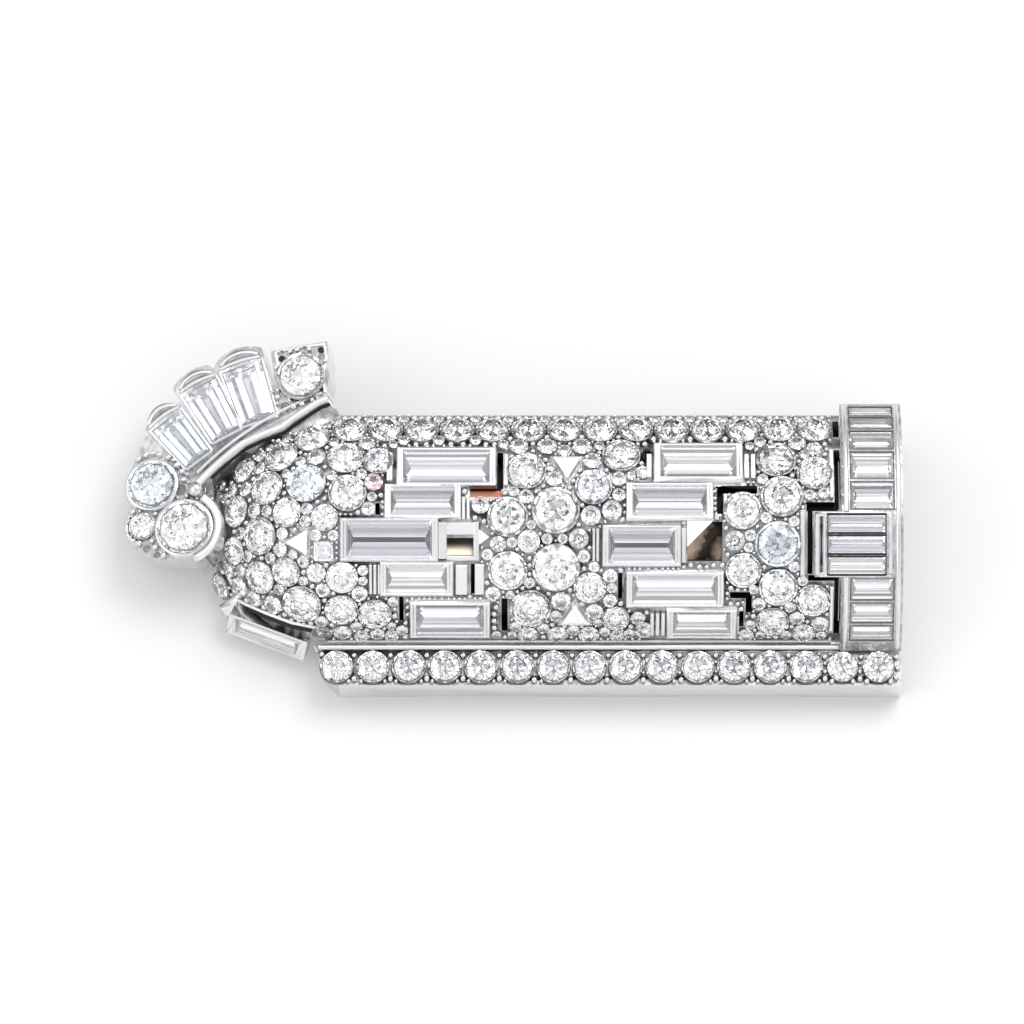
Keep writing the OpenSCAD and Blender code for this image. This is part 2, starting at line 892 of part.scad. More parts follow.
module centre_pave() {
    for (one = centre_field)
        face_round(one);
    for (one = centre_triangles)
        face_triangle(one);
}

module end_pave() {
    for (one = end_field)
        face_round(one);
}

mount();
clip_fitting();
for (i = [0 : len(clusters) - 1])
    baguette(clusters[i]);
for (i = [0 : len(band_rows) - 1])
    band_stone(band_rows[i]);
for (i = [0 : len(t_rows) - 1])
    t_stone(t_rows[i]);
for (i = [0 : len(fan_leaves) - 1])
    fan_baguette(fan_leaves[i]);
for (i = [0 : len(scroll_rounds) - 1])
    scroll_round(scroll_rounds[i]);
for (i = [0 : len(centre_rounds) - 1])
    face_round(centre_rounds[i], 16);
corner_bar();
rail_stones();
top_row();
foot_row();
dome_pave();
centre_pave();
end_pave();
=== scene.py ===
"""Dress clip: cut stones, grains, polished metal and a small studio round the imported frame.

It is laid out as an add-on and run as a script. main() registers the settings, the operators and the
panel, and calls the operators in order. Everything is in metres, in the frame's own place.
"""

import math

import bmesh
import bpy
import numpy as np
from mathutils import Matrix, Vector
from mathutils.bvhtree import BVHTree


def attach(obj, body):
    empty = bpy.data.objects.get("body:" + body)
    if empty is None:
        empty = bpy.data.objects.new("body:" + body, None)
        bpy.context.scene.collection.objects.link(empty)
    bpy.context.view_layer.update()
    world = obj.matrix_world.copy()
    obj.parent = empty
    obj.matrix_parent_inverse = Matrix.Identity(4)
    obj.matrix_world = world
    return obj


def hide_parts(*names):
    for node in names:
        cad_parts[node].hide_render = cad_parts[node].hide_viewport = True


bl_info = {
    "name": "Dress Clip",
    "version": (1, 0, 0),
    "blender": (4, 5, 0),
    "location": "View3D > Sidebar > Dress Clip",
    "description": "Cut stones, grains, polished metal and a studio for a dress clip",
    "category": "Object",
}

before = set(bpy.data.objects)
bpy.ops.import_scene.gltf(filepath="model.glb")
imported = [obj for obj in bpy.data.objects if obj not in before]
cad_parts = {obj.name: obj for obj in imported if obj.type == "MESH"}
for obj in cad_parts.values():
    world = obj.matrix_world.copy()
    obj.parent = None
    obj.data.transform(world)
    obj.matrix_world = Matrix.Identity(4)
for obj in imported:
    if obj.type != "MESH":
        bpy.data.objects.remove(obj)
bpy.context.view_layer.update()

MM = 0.001

# Barrel, dome, band and fan of the part's source
BARREL_R = 8.15 * MM
AXIS_Z = -0.95 * MM
FACE_LEAN = math.radians(18)
PLATE_R = 7.95 * MM
DOME_X = -9.8 * MM
BAND_FACE_R = 8.7 * MM
BAND_START = 18.78 * MM
FAN_X = -11.0 * MM
FAN_Z = 5.4 * MM
FAN_SLOPE = math.radians(10)
RAIL_TOP = 2.3 * MM
RAIL_BACK = -7.75 * MM
RAIL_FRONT = -9.5 * MM
GAP_DEPTH = 1.1 * MM
GAP_LOW = 2.4 * MM

# Wall under the scroll's ribbon: its ends, its least place across, its lowest point and the ribbon's line
WALL_ENDS = (-19 * MM, -10.6 * MM)
WALL_LEAST_Y = 0.8 * MM
WALL_LOW = 3.4 * MM
RIBBON_LINE = (-10.5 * MM, 7.1 * MM, 0.63)

# Sizes of stones, trim and stage
GIRDLE = 0.06 * MM
KEEL_SHARE = 0.03
DARK_KEEL_SHARE = 0.14
BAND_WIRE_R = 8.63 * MM
DOME_FILL_R = 7.75 * MM
DEEPEST_COLLAR = 0.9 * MM
FREE_COLLAR = 0.4 * MM
RAIL_GRAIN_LEAST = 0.115 * MM
RAIL_GRAIN_HEIGHT = 0.36 * MM
SCROLL_GRAIN_HEIGHT = 0.34 * MM
SEAT_SHARE = 0.94
SEAT_LEVELS = (-0.36 * MM, -0.125 * MM)
TRIM_DEPTH = 0.25 * MM
FLOOR_HALF = 3.0
FLOOR_GAP = 0.02 * MM
CAMERA_TARGET = 4.0 * MM

FIELDS = ("rail_stones", "top_row", "foot_row", "dome_pave", "centre_pave", "end_pave")
LONE_ROUNDS = ("centre_round_1", "centre_round_2") + tuple(f"scroll_round_{i}" for i in range(1, 5))
BROAD_COLLARS = ("scroll_round_2", "scroll_round_3")
CLUSTER_STONES = tuple(f"baguette_{i}" for i in range(1, 11))
BAND_STONES = tuple(f"band_stone_{i}" for i in range(1, 12))
FAN_STONES = tuple(f"fan_baguette_{i}" for i in range(1, 4))
STEP_STONES = CLUSTER_STONES + BAND_STONES + FAN_STONES + ("corner_bar",)
DARK_KEELS = ("baguette_3", "baguette_8")
LAVENDER = ("baguette_1", "baguette_3", "baguette_5", "baguette_8") + ("band_stone_10",) + FAN_STONES[:2]
PALE_BLUE = ("fan_baguette_3", "scroll_round_2")

# Places on the face, in millimetres, whose stones are tinted too
BLUE_PLACES = ((-11.75, 3.15), (15.15, -0.30))
LAVENDER_PLACES = ((4.65, 2.95), (-7.65, 4.45))
# The pink stone stands in for a pink flash of fire: a painted glint.
PINK_FLASH_PLACE = (-7.87, 3.12)
TINT_REACH = 0.5 * MM
PINK_FLASH_REACH = 0.55 * MM

MOUNT_FINISHES = ("polished", "worked", "black", "soft", "bright")
SEED = 31


# Places on the clip


def turn_about_x(angle):
    """Matrix of a turn about the clip's length."""
    return np.array(Matrix.Rotation(angle, 3, "X"))


def turn_about_y(angle):
    """Matrix of a turn about the clip's width."""
    return np.array(Matrix.Rotation(angle, 3, "Y"))


def face_place(x, up, lift=0.0):
    """Point and axes of a place on the barrel or its dome, in the two measures of the part's source."""
    over = min(0.0, x - DOME_X)
    depth = math.sqrt(BARREL_R * BARREL_R - over * over - up * up)
    axes = turn_about_x(FACE_LEAN - math.atan2(up, depth)) @ turn_about_y(math.asin(over / BARREL_R))
    start = np.array([max(x, DOME_X), 0.0, AXIS_Z])
    return start + axes[:, 2] * (BARREL_R + lift), axes


def on_face(places, lift=0.0):
    """Points of the face for places and a lift in millimetres."""
    return [face_place(x * MM, up * MM, lift * MM)[0] for x, up in places]


def barrel_point(x, angle, r):
    """Point at an angle up the barrel and a distance from its axis."""
    return np.array([x, 0.0, AXIS_Z]) + turn_about_x(FACE_LEAN - angle)[:, 2] * r


def fan_place(x, y, lift=0.0):
    """Point and axes of a place on the fan's top face, by its place seen from above."""
    axes = turn_about_y(-FAN_SLOPE)
    start = np.array([FAN_X, 0.0, FAN_Z])
    along = (x - FAN_X) / math.cos(FAN_SLOPE)
    return start + axes[:, 0] * along + np.array([0.0, y, 0.0]) + axes[:, 2] * lift, axes


def on_fan(places, lift=0.0):
    """Points of the fan for places and a lift in millimetres."""
    return [fan_place(x * MM, y * MM, lift * MM)[0] for x, y in places]


# Meshes


def tube_faces(rows, sides, ring=False):
    """Quads between rows of corners, and in a ring from the last row back to the first."""
    faces = []
    for k in range(rows if ring else rows - 1):
        low, high = k * sides, (k + 1) % rows * sides
        for i in range(sides):
            j = (i + 1) % sides
            faces.append((low + i, low + j, high + j, high + i))
    return faces


def closed_faces(rows, sides):
    """Quads between rows of corners, with the first and the last row filled."""
    return [tuple(range(sides)), tuple(range((rows - 1) * sides, rows * sides))] + tube_faces(rows, sides)


def bar_solid(length, width, height, bevel):
    """An upright bar with its top edges chamfered, its foot at z = 0."""
    points = []
    for inset_by, z in ((0.0, 0.0), (0.0, height - bevel), (bevel, height)):
        x, y = length / 2 - inset_by, width / 2 - inset_by
        points += [(x, y, z), (-x, y, z), (-x, -y, z), (x, -y, z)]
    return np.array(points), closed_faces(3, 4)


def add_bar(shape, start, end, axis, width, top):
    """Adds a chamfered bar from one point to another, standing over them by its top."""
    along = end - start
    length = np.linalg.norm(along)
    along = along / length
    points, faces = bar_solid(length, width, top + 0.2 * MM, 0.04 * MM)
    points[:, 2] -= 0.2 * MM
    axes = np.column_stack([along, np.cross(axis, along), axis])
    shape.add_convex((start + end) / 2 + points @ axes.T, faces)


def add_by_stone(shape, stone, sizes, at):
    """Adds a bar of a length, width, height and bevel, its foot at a place of the stone's own frame."""
    points, faces = bar_solid(*sizes)
    shape.add_convex(stone.place(points + at), faces)


def add_prism(shape, corners, low, high):
    """Adds a plate over corners on the face, between two lifts, all in millimetres."""
    shape.add_convex(on_face(corners, low) + on_face(corners, high), closed_faces(2, len(corners)))


class Shape:
    """Corners and faces of one mesh, gathered piece by piece."""

    def __init__(self):
        self.points = []
        self.faces = []

    def add(self, points, faces):
        start = len(self.points)
        self.points.extend(tuple(float(c) for c in p) for p in points)
        self.faces.extend(tuple(start + i for i in face) for face in faces)

    def add_convex(self, points, faces):
        """Adds a convex solid and turns each of its faces outwards."""
        points = np.asarray(points, float)
        mid = points.mean(axis=0)
        turned = []
        for face in faces:
            corners = points[list(face)]
            normal = np.zeros(3)
            for a, b in zip(corners, np.roll(corners, -1, axis=0)):
                normal += np.cross(a - mid, b - mid)
            outward = normal @ (corners.mean(axis=0) - mid) > 0
            turned.append(tuple(face) if outward else tuple(reversed(face)))
        self.add(points, turned)

    def mesh(self, name):
        mesh = bpy.data.meshes.new(name)
        mesh.from_pydata(self.points, [], self.faces)
        mesh.update()
        return mesh

    def part(self, finish):
        """The mesh with its material, as finished_piece takes them."""
        return self.mesh(finish), MATERIALS[finish]


def new_object(name, mesh):
    """An object in the scene's own collection."""
    piece = bpy.data.objects.new(name, mesh)
    bpy.context.scene.collection.objects.link(piece)
    return piece


def join_meshes(name, parts):
    """One object from (mesh, material) pairs, with a material slot for each."""
    whole = bmesh.new()
    mesh = bpy.data.meshes.new(name)
    for slot, (part, material) in enumerate(parts):
        part.polygons.foreach_set("material_index", [slot] * len(part.polygons))
        whole.from_mesh(part)
        mesh.materials.append(material)
        bpy.data.meshes.remove(part)
    whole.to_mesh(mesh)
    whole.free()
    mesh.update()
    return new_object(name, mesh)


def finished_piece(name, parts, slot, *nodes):
    """Joins the parts, hangs the piece on the clip and hides the nodes that it stands for."""
    piece = join_meshes(name, parts)
    if nodes:
        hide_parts(*nodes)
    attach(piece, "root")
    return piece


def merged_copy(node):
    """A closed bmesh copy of a CAD node, whose own mesh is loose triangles."""
    copy = bmesh.new()
    copy.from_mesh(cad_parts[node].data)
    bmesh.ops.remove_doubles(copy, verts=copy.verts, dist=1e-6)
    return copy


# Stones, as the CAD places them


class Stone:
    """Girdle, axis and size of one stone, measured from the corners of its solid."""

    def __init__(self, points, node):
        self.node = node
        mid = points.mean(axis=0)
        axis = np.linalg.svd(points - mid)[2][2]
        heights = (points - mid) @ axis
        order = np.argsort(heights)
        cuts = np.flatnonzero(np.diff(heights[order]) > 0.02 * MM) + 1
        levels = []
        for group in np.split(order, cuts):
            ring = points[group]
            centre = ring.mean(axis=0)
            levels.append((heights[group].mean(), np.linalg.norm(ring - centre, axis=1).mean(), group))
        widest = max(level[1] for level in levels)
        girdle = [level for level in levels if level[1] > widest - 1e-6]
        middle = sum(level[0] for level in girdle) / len(girdle)
        if heights.max() - middle > middle - heights.min():
            axis = -axis
            girdle = girdle[::-1]
        ring = points[girdle[-1][2]]
        self.centre = ring.mean(axis=0)
        self.axis = axis
        spokes = ring - self.centre
        self.r = self.cad_r = float(np.linalg.norm(spokes, axis=1).mean())
        side = spokes[0] / np.linalg.norm(spokes[0])
        across = np.cross(axis, side)
        angles = np.arctan2(spokes @ across, spokes @ side)
        ring = ring[np.argsort(angles)]
        edges = np.roll(ring, -1, axis=0) - ring
        longest = edges[np.argmax(np.linalg.norm(edges, axis=1))]
        if len(ring) < 8:
            side = longest / np.linalg.norm(longest)
        self.axes = np.column_stack([side, np.cross(axis, side), axis])
        self.corners = ((ring - self.centre) @ self.axes)[:, :2]
        self.half = np.abs(self.corners).max(axis=0)
        self.round = len(ring) >= 8

    def place(self, points):
        """Points of the stone's own frame, in the scene."""
        return self.centre + np.asarray(points) @ self.axes.T

    def gap(self, points):
        """Distance of each point from the stone's outline, seen along its axis."""
        local = (points - self.centre) @ self.axes
        if self.round:
            out = np.hypot(local[..., 0], local[..., 1]) - self.r
        else:
            out = np.full(local.shape[:-1], -1.0)
            for a, b in zip(self.corners, np.roll(self.corners, -1, axis=0)):
                along = (b - a) / np.linalg.norm(b - a)
                out = np.maximum(out, (local[..., 0] - a[0]) * along[1] - (local[..., 1] - a[1]) * along[0])
        return np.where(np.abs(local[..., 2]) < 1.2 * MM, out, 1.0)

    def tint(self):
        """Name of the finish that suits the stone's place."""
        kind = "round" if self.round else "step"
        if self.node == "rail_stones":
            return "round_grey"
        if self.node in LAVENDER:
            return kind + "_lavender"
        if self.node in PALE_BLUE:
            return kind + "_blue"
        for places, name in ((BLUE_PLACES, "_blue"), (LAVENDER_PLACES, "_lavender")):
            if any(np.linalg.norm(place - self.centre) < TINT_REACH for place in on_face(places)):
                return kind + name
        return kind


def loose_solids(node):
    """Corner positions of each solid of a CAD node."""
    copy = merged_copy(node)
    copy.verts.index_update()
    seen, solids = set(), []
    for first in copy.verts:
        if first.index in seen:
            continue
        seen.add(first.index)
        found = [first]
        for vert in found:
            for edge in vert.link_edges:
                other = edge.other_vert(vert)
                if other.index not in seen:
                    seen.add(other.index)
                    found.append(other)
        solids.append(np.array([v.co[:] for v in found]))
    copy.free()
    return sorted(solids, key=lambda s: (round(float(s[:, 0].mean()), 5), round(float(s[:, 1].mean()), 5)))


def find_stones(node):
    """Every stone of a CAD node."""
    return [Stone(points, node) for points in loose_solids(node)]


def one_stone(node):
    """The stone of a CAD node that has only one."""
    return find_stones(node)[0]


# Cuts of the stones, each with the upper edge of its girdle at z = 0


def circle_of(count, r, z, turn=0.0):
    """Points round the z axis at one height."""
    angles = 2 * math.pi * np.arange(count) / count + turn
    return np.column_stack([r * np.cos(angles), r * np.sin(angles), np.full(count, z)])


def brilliant(r, cut, rng):
    """Round cut: a table, eight stars, eight kites, split girdle facets, eight mains and a culet."""
    half = math.pi / 8
    table = r * cut.table_share * rng.uniform(0.96, 1.04)
    crown = r * cut.crown_share * rng.uniform(0.92, 1.0)
    star = table + (r - table) * rng.uniform(0.40, 0.52)
    depth = r * cut.pavilion_share
    culet = r * cut.culet_share
    lower = r * rng.uniform(0.30, 0.42)
    star_z = crown * (r - star * math.cos(half)) / (r - table)
    lower_z = -GIRDLE - depth * (r - lower * math.cos(half)) / (r - culet * math.cos(half))
    rings = [
        circle_of(8, table, crown),
        circle_of(8, star, star_z, half),
        circle_of(16, r, 0.0),
        circle_of(16, r, -GIRDLE),
        circle_of(8, lower, lower_z, half),
        circle_of(8, culet, -GIRDLE - depth, half),
    ]
    t, s, g, b, low, c = np.cumsum([0] + [len(ring) for ring in rings[:-1]])
    faces = [tuple(t + k for k in range(8)), tuple(c + k for k in range(8))]
    for k in range(8):
        after, before = (k + 1) % 8, (k - 1) % 8
        one, two, three = 2 * k, 2 * k + 1, (2 * k + 2) % 16
        faces += [
            (t + k, t + after, s + k),
            (t + k, s + k, g + one, s + before),
            (s + k, g + one, g + two),
            (s + k, g + two, g + three),
            (g + one, g + two, b + two, b + one),
            (g + two, g + three, b + three, b + two),
            (low + k, b + one, b + two),
            (low + k, b + two, b + three),
            (c + before, c + k, low + k, b + one, low + before),
        ]
    return np.vstack(rings), faces


def inset(corners, distance, ends):
    """Corners of a convex outline whose edges have moved inwards, its short ones by a share of the way."""
    n = len(corners)
    sides = np.linalg.norm(np.roll(corners, -1, axis=0) - corners, axis=1)
    lines = []
    for i in range(n):
        a, b = corners[i], corners[(i + 1) % n]
        along = (b - a) / np.linalg.norm(b - a)
        inward = np.array([-along[1], along[0]])
        if inward @ (corners.mean(axis=0) - a) < 0:
            inward = -inward
        lines.append((inward, inward @ a + distance * (ends if sides[i] < 0.75 * sides.max() else 1.0)))
    out = []
    for i in range(n):
        (n1, d1), (n2, d2) = lines[i - 1], lines[i]
        out.append(np.linalg.solve(np.array([n1, n2]), np.array([d1, d2])))
    return np.array(out)


def stepped(corners, steps, ends=1.0):
    """Step cut with one ring of corners for each (inset, height), from the table down."""
    n = len(corners)
    rings = []
    for distance, z in steps:
        ring = inset(corners, distance, ends) if distance else corners
        rings.append(np.column_stack([ring, np.full(n, z)]))
    return np.vstack(rings), closed_faces(len(rings), n)


def step_cut(corners, keel):
    """Table, two crown steps, girdle and three pavilion steps down to a keel of the given share."""
    w = np.linalg.norm(np.roll(corners, -1, axis=0) - corners, axis=1).min()
    return stepped(corners, [
        (0.17 * w, 0.10 * w),
        (0.08 * w, 0.06 * w),
        (0.0, 0.0),
        (0.0, -GIRDLE),
        (0.16 * w, -GIRDLE - 0.147 * w),
        (0.31 * w, -GIRDLE - 0.277 * w),
        ((0.5 - keel / 2) * w, -GIRDLE - 0.277 * w - (0.19 - keel / 2) * 0.82 * w),
    ], 0.5)


def triangle_cut(corners):
    """A thin triangular stone with a broad table, for a bright closed seat."""
    reach = float(np.linalg.norm(corners, axis=1).mean())
    return stepped(corners, [
        (0.10 * reach, 0.13 * MM),
        (0.0, 0.0),
        (0.0, -GIRDLE),
        (0.03 * reach, -GIRDLE - 0.05 * MM),
    ])


def single_cut(r, depth, sides=10):
    """Small round cut of the bare spots: a table, one row of crown facets and a shallow pavilion."""
    rings = [
        circle_of(sides, 0.54 * r, 0.27 * r),
        circle_of(sides, r, 0.0),
        circle_of(sides, r, -GIRDLE),
        circle_of(sides, 0.14 * r, -GIRDLE - depth),
    ]
    return np.vstack(rings), closed_faces(4, sides)


def add_cut(shape, stone, cut, rng):
    """Cuts one stone in its own place, with a little of a hand setter's tilt and turn."""
    if stone.round:
        points, faces = brilliant(stone.r, cut, rng)
        tilt = cut.tilt
        lean, sway = rng.uniform(-tilt, tilt), rng.uniform(-tilt, tilt)
        turned = Matrix.Rotation(lean, 3, "X") @ Matrix.Rotation(sway, 3, "Y")
        turned = turned @ Matrix.Rotation(rng.uniform(0, math.pi / 4), 3, "Z")
        points = points @ np.array(turned).T
    elif len(stone.corners) == 3:
        points, faces = triangle_cut(stone.corners)
    else:
        points, faces = step_cut(stone.corners, DARK_KEEL_SHARE if stone.node in DARK_KEELS else KEEL_SHARE)
    shape.add_convex(stone.place(points), faces)


# Shader and geometry node trees


class Value:
    """A socket that takes part in Python's own arithmetic."""

    def __init__(self, tree, socket):
        self.tree = tree
        self.socket = socket

    def maths(self, operation, first, second):
        node = self.tree.node("ShaderNodeMath", {"operation": operation}, {0: first, 1: second})
        return self.tree.out(node, 0)

    def __add__(self, other):
        return self.maths("ADD", self, other)

    def __radd__(self, other):
        return self.maths("ADD", other, self)

    def __sub__(self, other):
        return self.maths("SUBTRACT", self, other)

    def __rsub__(self, other):
        return self.maths("SUBTRACT", other, self)

    def __mul__(self, other):
        return self.maths("MULTIPLY", self, other)

    def __rmul__(self, other):
        return self.maths("MULTIPLY", other, self)

    def clamped(self, low, high):
        return self.maths("MINIMUM", self.maths("MAXIMUM", self, low), high)


class Tree:
    """A node tree whose nodes all come from one method."""

    def __init__(self, tree):
        self.tree = tree

    def node(self, kind, settings=None, sockets=None):
        """A new node with its settings, and a value or a link for each socket."""
        made = self.tree.nodes.new(kind)
        for key, value in (settings or {}).items():
            if key == "stops":
                self.set_stops(made.color_ramp, value)
            else:
                setattr(made, key, value)
        for key, value in (sockets or {}).items():
            if isinstance(value, Value):
                self.tree.links.new(value.socket, made.inputs[key])
            else:
                made.inputs[key].default_value = value
        return made

    def out(self, node, key):
        return Value(self, node.outputs[key])

    @staticmethod
    def set_stops(ramp, stops):
        while len(ramp.elements) < len(stops):
            ramp.elements.new(0.5)
        for element, (position, colour) in zip(ramp.elements, stops):
            element.position = position
            element.color = colour


class Finish(Tree):
    """A material's tree, with the noises and mixes that the finishes share."""

    def __init__(self, name):
        self.material = bpy.data.materials.new(name)
        self.material.use_nodes = True
        super().__init__(self.material.node_tree)
        self.tree.nodes.clear()
        self.place = self.out(self.node("ShaderNodeTexCoord"), "Object")

    def noise(self, per_mm, detail=2.0, stretch=(1, 1, 1)):
        """Noise in the object's own place, with about so many swells in a millimetre."""
        mapped = self.node("ShaderNodeMapping", {}, {"Vector": self.place, "Scale": stretch})
        sockets = {"Vector": self.out(mapped, 0), "Scale": per_mm / MM, "Detail": detail, "Roughness": 0.6}
        return self.out(self.node("ShaderNodeTexNoise", {}, sockets), 0)

    def blend(self, mask, low, high):
        """Mixes two colours by a mask."""
        sockets = {0: mask, 6: low, 7: high}
        mix = self.node("ShaderNodeMix", {"data_type": "RGBA", "clamp_factor": True}, sockets)
        return self.out(mix, 2)

    def finish(self, sockets):
        shader = self.node("ShaderNodeBsdfPrincipled", {}, sockets)
        self.node("ShaderNodeOutputMaterial", {}, {"Surface": self.out(shader, 0)})
        return self.material


def rgba(colour, level=1.0):
    """A socket's colour, brightened or darkened."""
    return tuple(c * level for c in colour) + (1.0,)


def polished_metal(name, colour, rough, edge, scratch=0.25):
    """Polished metal with rounded edges, fine wear marks and a faint unevenness of its shine."""
    f = Finish(name)
    smears = f.noise(0.8, 3)
    marks = f.noise(9.0, 2, (1, 0.12, 1))
    pits = f.noise(24.0, 1)
    round_edge = f.out(f.node("ShaderNodeBevel", {"samples": 4}, {"Radius": edge * MM}), 0)
    bump = f.node("ShaderNodeBump", {}, {
        "Strength": scratch,
        "Distance": 0.01 * MM,
        "Height": marks * 0.6 + pits * 0.4,
        "Normal": round_edge,
    })
    return f.finish({
        "Base Color": f.blend(smears, rgba(colour, 0.86), rgba(colour)),
        "Metallic": 1.0,
        "Roughness": (smears * 0.12 + marks * 0.06 + (rough - 0.09)).clamped(0.03, 0.6),
        "Normal": f.out(bump, 0),
    })


def worked_metal(name, colour, rough):
    """Metal between the stones: cut by hand in short bright strokes, with darker patches at random."""
    f = Finish(name)
    strokes = f.noise(5.0, 2, (1, 0.4, 0.4))
    cloud = f.noise(1.1, 2)
    tone = ((strokes * 0.7 + cloud * 0.5 - 0.32) * 2.4).clamped(0.0, 1.0)
    bump = f.node("ShaderNodeBump", {}, {"Strength": 0.7, "Distance": 0.04 * MM, "Height": strokes})
    return f.finish({
        "Base Color": f.blend(tone, rgba(colour, 0.40), rgba(colour, 1.1)),
        "Metallic": 1.0,
        "Roughness": (cloud * 0.2 + rough).clamped(0.05, 0.7),
        "Normal": f.out(bump, 0),
    })


def blackened_metal(name, tone):
    """Painted shade on the walls of the gaps and seats: a dark metal that stands in for the shade there."""
    f = Finish(name)
    cloud = f.noise(1.6, 2)
    return f.finish({
        "Base Color": f.blend(cloud, rgba((1, 1, 1.02), tone * 0.5), rgba((1, 1, 1.02), tone * 1.4)),
        "Metallic": 0.6,
        "Roughness": (cloud * 0.2 + 0.45).clamped(0.0, 1.0),
    })


def white_seat(name, colour):
    """The closed seat under a triangular stone, which throws all the light back, and glows faintly as painted
    light.
    """
    f = Finish(name)
    cloud = f.noise(1.2, 1)
    return f.finish({
        "Base Color": f.blend(cloud, rgba(colour, 0.97), rgba(colour, 1.03)),
        "Metallic": 1.0,
        "Roughness": (cloud * 0.1 + 0.4).clamped(0.0, 1.0),
        "Emission Color": rgba((1.0, 1.0, 1.0)),
        "Emission Strength": 0.3,
    })


def shaded_gold(name, colour):
    """Gold deep in the right gap: a slanting band of painted shade between two sides painted lighter."""
    f = Finish(name)
    strokes = f.noise(1.3, 3, (0.8, 1.2, 1.0))
    split = f.node("ShaderNodeSeparateXYZ", {}, {0: f.place})
    across = f.out(split, 0) * (0.85 / MM) - f.out(split, 1) * (0.553 / MM) - 11.05
    shade = f.node("ShaderNodeValToRGB", {"stops": [
        (0.0, rgba(colour, 1.8)),
        (0.22, rgba(colour, 0.9)),
        (0.36, rgba(colour, 0.12)),
        (0.54, rgba(colour, 0.05)),
        (0.66, rgba(colour, 0.5)),
        (0.78, rgba(colour, 1.1)),
        (1.0, rgba(colour, 0.4)),
    ]}, {"Fac": across * 0.42 + strokes * 0.55 + 0.2})
    return f.finish({
        "Base Color": f.out(shade, 0),
        "Metallic": 1.0,
        "Roughness": (strokes * 0.2 + 0.35).clamped(0.0, 1.0),
    })


def cut_stone(name, pale, tinted, patch, rough, painted_glow):
    """Colourless stone whose body colour drifts faintly from one stone to the next, with a faint painted glow
    of its own tint.
    """
    f = Finish(name)
    drift = ((f.noise(patch, 0) - 0.42) * 5.0).clamped(0.0, 1.0)
    return f.finish({
        "Base Color": f.blend(drift, rgba(pale), rgba(tinted)),
        "Roughness": rough,
        "IOR": 2.417,
        "Transmission Weight": 1.0,
        "Emission Color": rgba(tinted),
        "Emission Strength": painted_glow,
    })


def studio_floor(name, colour):
    """Pale matt sheet with a faint cloud in it."""
    f = Finish(name)
    cloud = f.noise(0.02, 2)
    return f.finish({
        "Base Color": f.blend(cloud, rgba(colour, 0.985), rgba(colour)),
        "Roughness": (cloud * 0.06 + 0.3).clamped(0.0, 1.0),
        "IOR": 1.45,
        "Emission Color": (1.0, 1.0, 1.0, 1.0),
        "Emission Strength": 0.28,
    })


MATERIALS = {}


def new_group(name, inputs):
    """An empty geometry tree with named inputs. Returns it and each input's identifier."""
    group = bpy.data.node_groups.new(name, "GeometryNodeTree")
    group.interface.new_socket("Geometry", in_out="INPUT", socket_type="NodeSocketGeometry")
    group.interface.new_socket("Geometry", in_out="OUTPUT", socket_type="NodeSocketGeometry")
    names = {}
    for label, kind, default in inputs:
        socket = group.interface.new_socket(label, in_out="INPUT", socket_type=kind)
        if default is not None:
            socket.default_value = default
        names[label] = socket.identifier
    return group, names


def setter_group():
    """Sets one small piece on every point, along the point's axis and at the point's own scale."""
    group, names = new_group("Set on points", [
        ("Piece", "NodeSocketObject", None),
        ("Variation", "NodeSocketFloat", 0.1),
        ("Seed", "NodeSocketInt", SEED),
        ("Finish", "NodeSocketMaterial", None),
    ])
    t = Tree(group)
    given = t.node("NodeGroupInput")
    settings = {"transform_space": "ORIGINAL"}
    piece = t.node("GeometryNodeObjectInfo", settings, {"Object": t.out(given, "Piece")})
    axis = t.node("GeometryNodeInputNamedAttribute", {"data_type": "FLOAT_VECTOR"}, {"Name": "axis"})
    size = t.node("GeometryNodeInputNamedAttribute", {"data_type": "FLOAT_VECTOR"}, {"Name": "size"})
    upright = t.node("FunctionNodeAlignRotationToVector", {"axis": "Z"}, {"Vector": t.out(axis, 0)})
    spread = t.out(given, "Variation")
    chance = t.node("FunctionNodeRandomValue", {"data_type": "FLOAT"}, {
        "Min": 1.0 - spread,
        "Max": 1.0 + spread,
        "Seed": t.out(given, "Seed"),
    })
    scale = t.node("ShaderNodeVectorMath", {"operation": "SCALE"}, {0: t.out(size, 0), 3: t.out(chance, 1)})
    placed = t.node("GeometryNodeInstanceOnPoints", {}, {
        "Points": t.out(given, "Geometry"),
        "Instance": t.out(piece, "Geometry"),
        "Rotation": t.out(upright, 0),
        "Scale": t.out(scale, 0),
    })
    real = t.node("GeometryNodeRealizeInstances", {}, {"Geometry": t.out(placed, 0)})
    dressed = t.node("GeometryNodeSetMaterial", {}, {
        "Geometry": t.out(real, 0),
        "Material": t.out(given, "Finish"),
    })
    t.node("NodeGroupOutput", {}, {0: t.out(dressed, 0)})
    return group, names


def wire_group():
    """Draws a round wire along every edge path of a mesh."""
    group, names = new_group("Wire along paths", [
        ("Radius", "NodeSocketFloat", 0.1 * MM),
        ("Sides", "NodeSocketInt", 8),
        ("Finish", "NodeSocketMaterial", None),
    ])
    t = Tree(group)
    given = t.node("NodeGroupInput")
    path = t.node("GeometryNodeMeshToCurve", {}, {"Mesh": t.out(given, "Geometry")})
    section = t.node("GeometryNodeCurvePrimitiveCircle", {"mode": "RADIUS"}, {
        "Resolution": t.out(given, "Sides"),
        "Radius": t.out(given, "Radius"),
    })
    wire = t.node("GeometryNodeCurveToMesh", {}, {
        "Curve": t.out(path, 0),
        "Profile Curve": t.out(section, 0),
        "Fill Caps": True,
    })
    smooth = t.node("GeometryNodeSetShadeSmooth", {}, {"Geometry": t.out(wire, 0)})
    dressed = t.node("GeometryNodeSetMaterial", {}, {
        "Geometry": t.out(smooth, 0),
        "Material": t.out(given, "Finish"),
    })
    t.node("NodeGroupOutput", {}, {0: t.out(dressed, 0)})
    return group, names


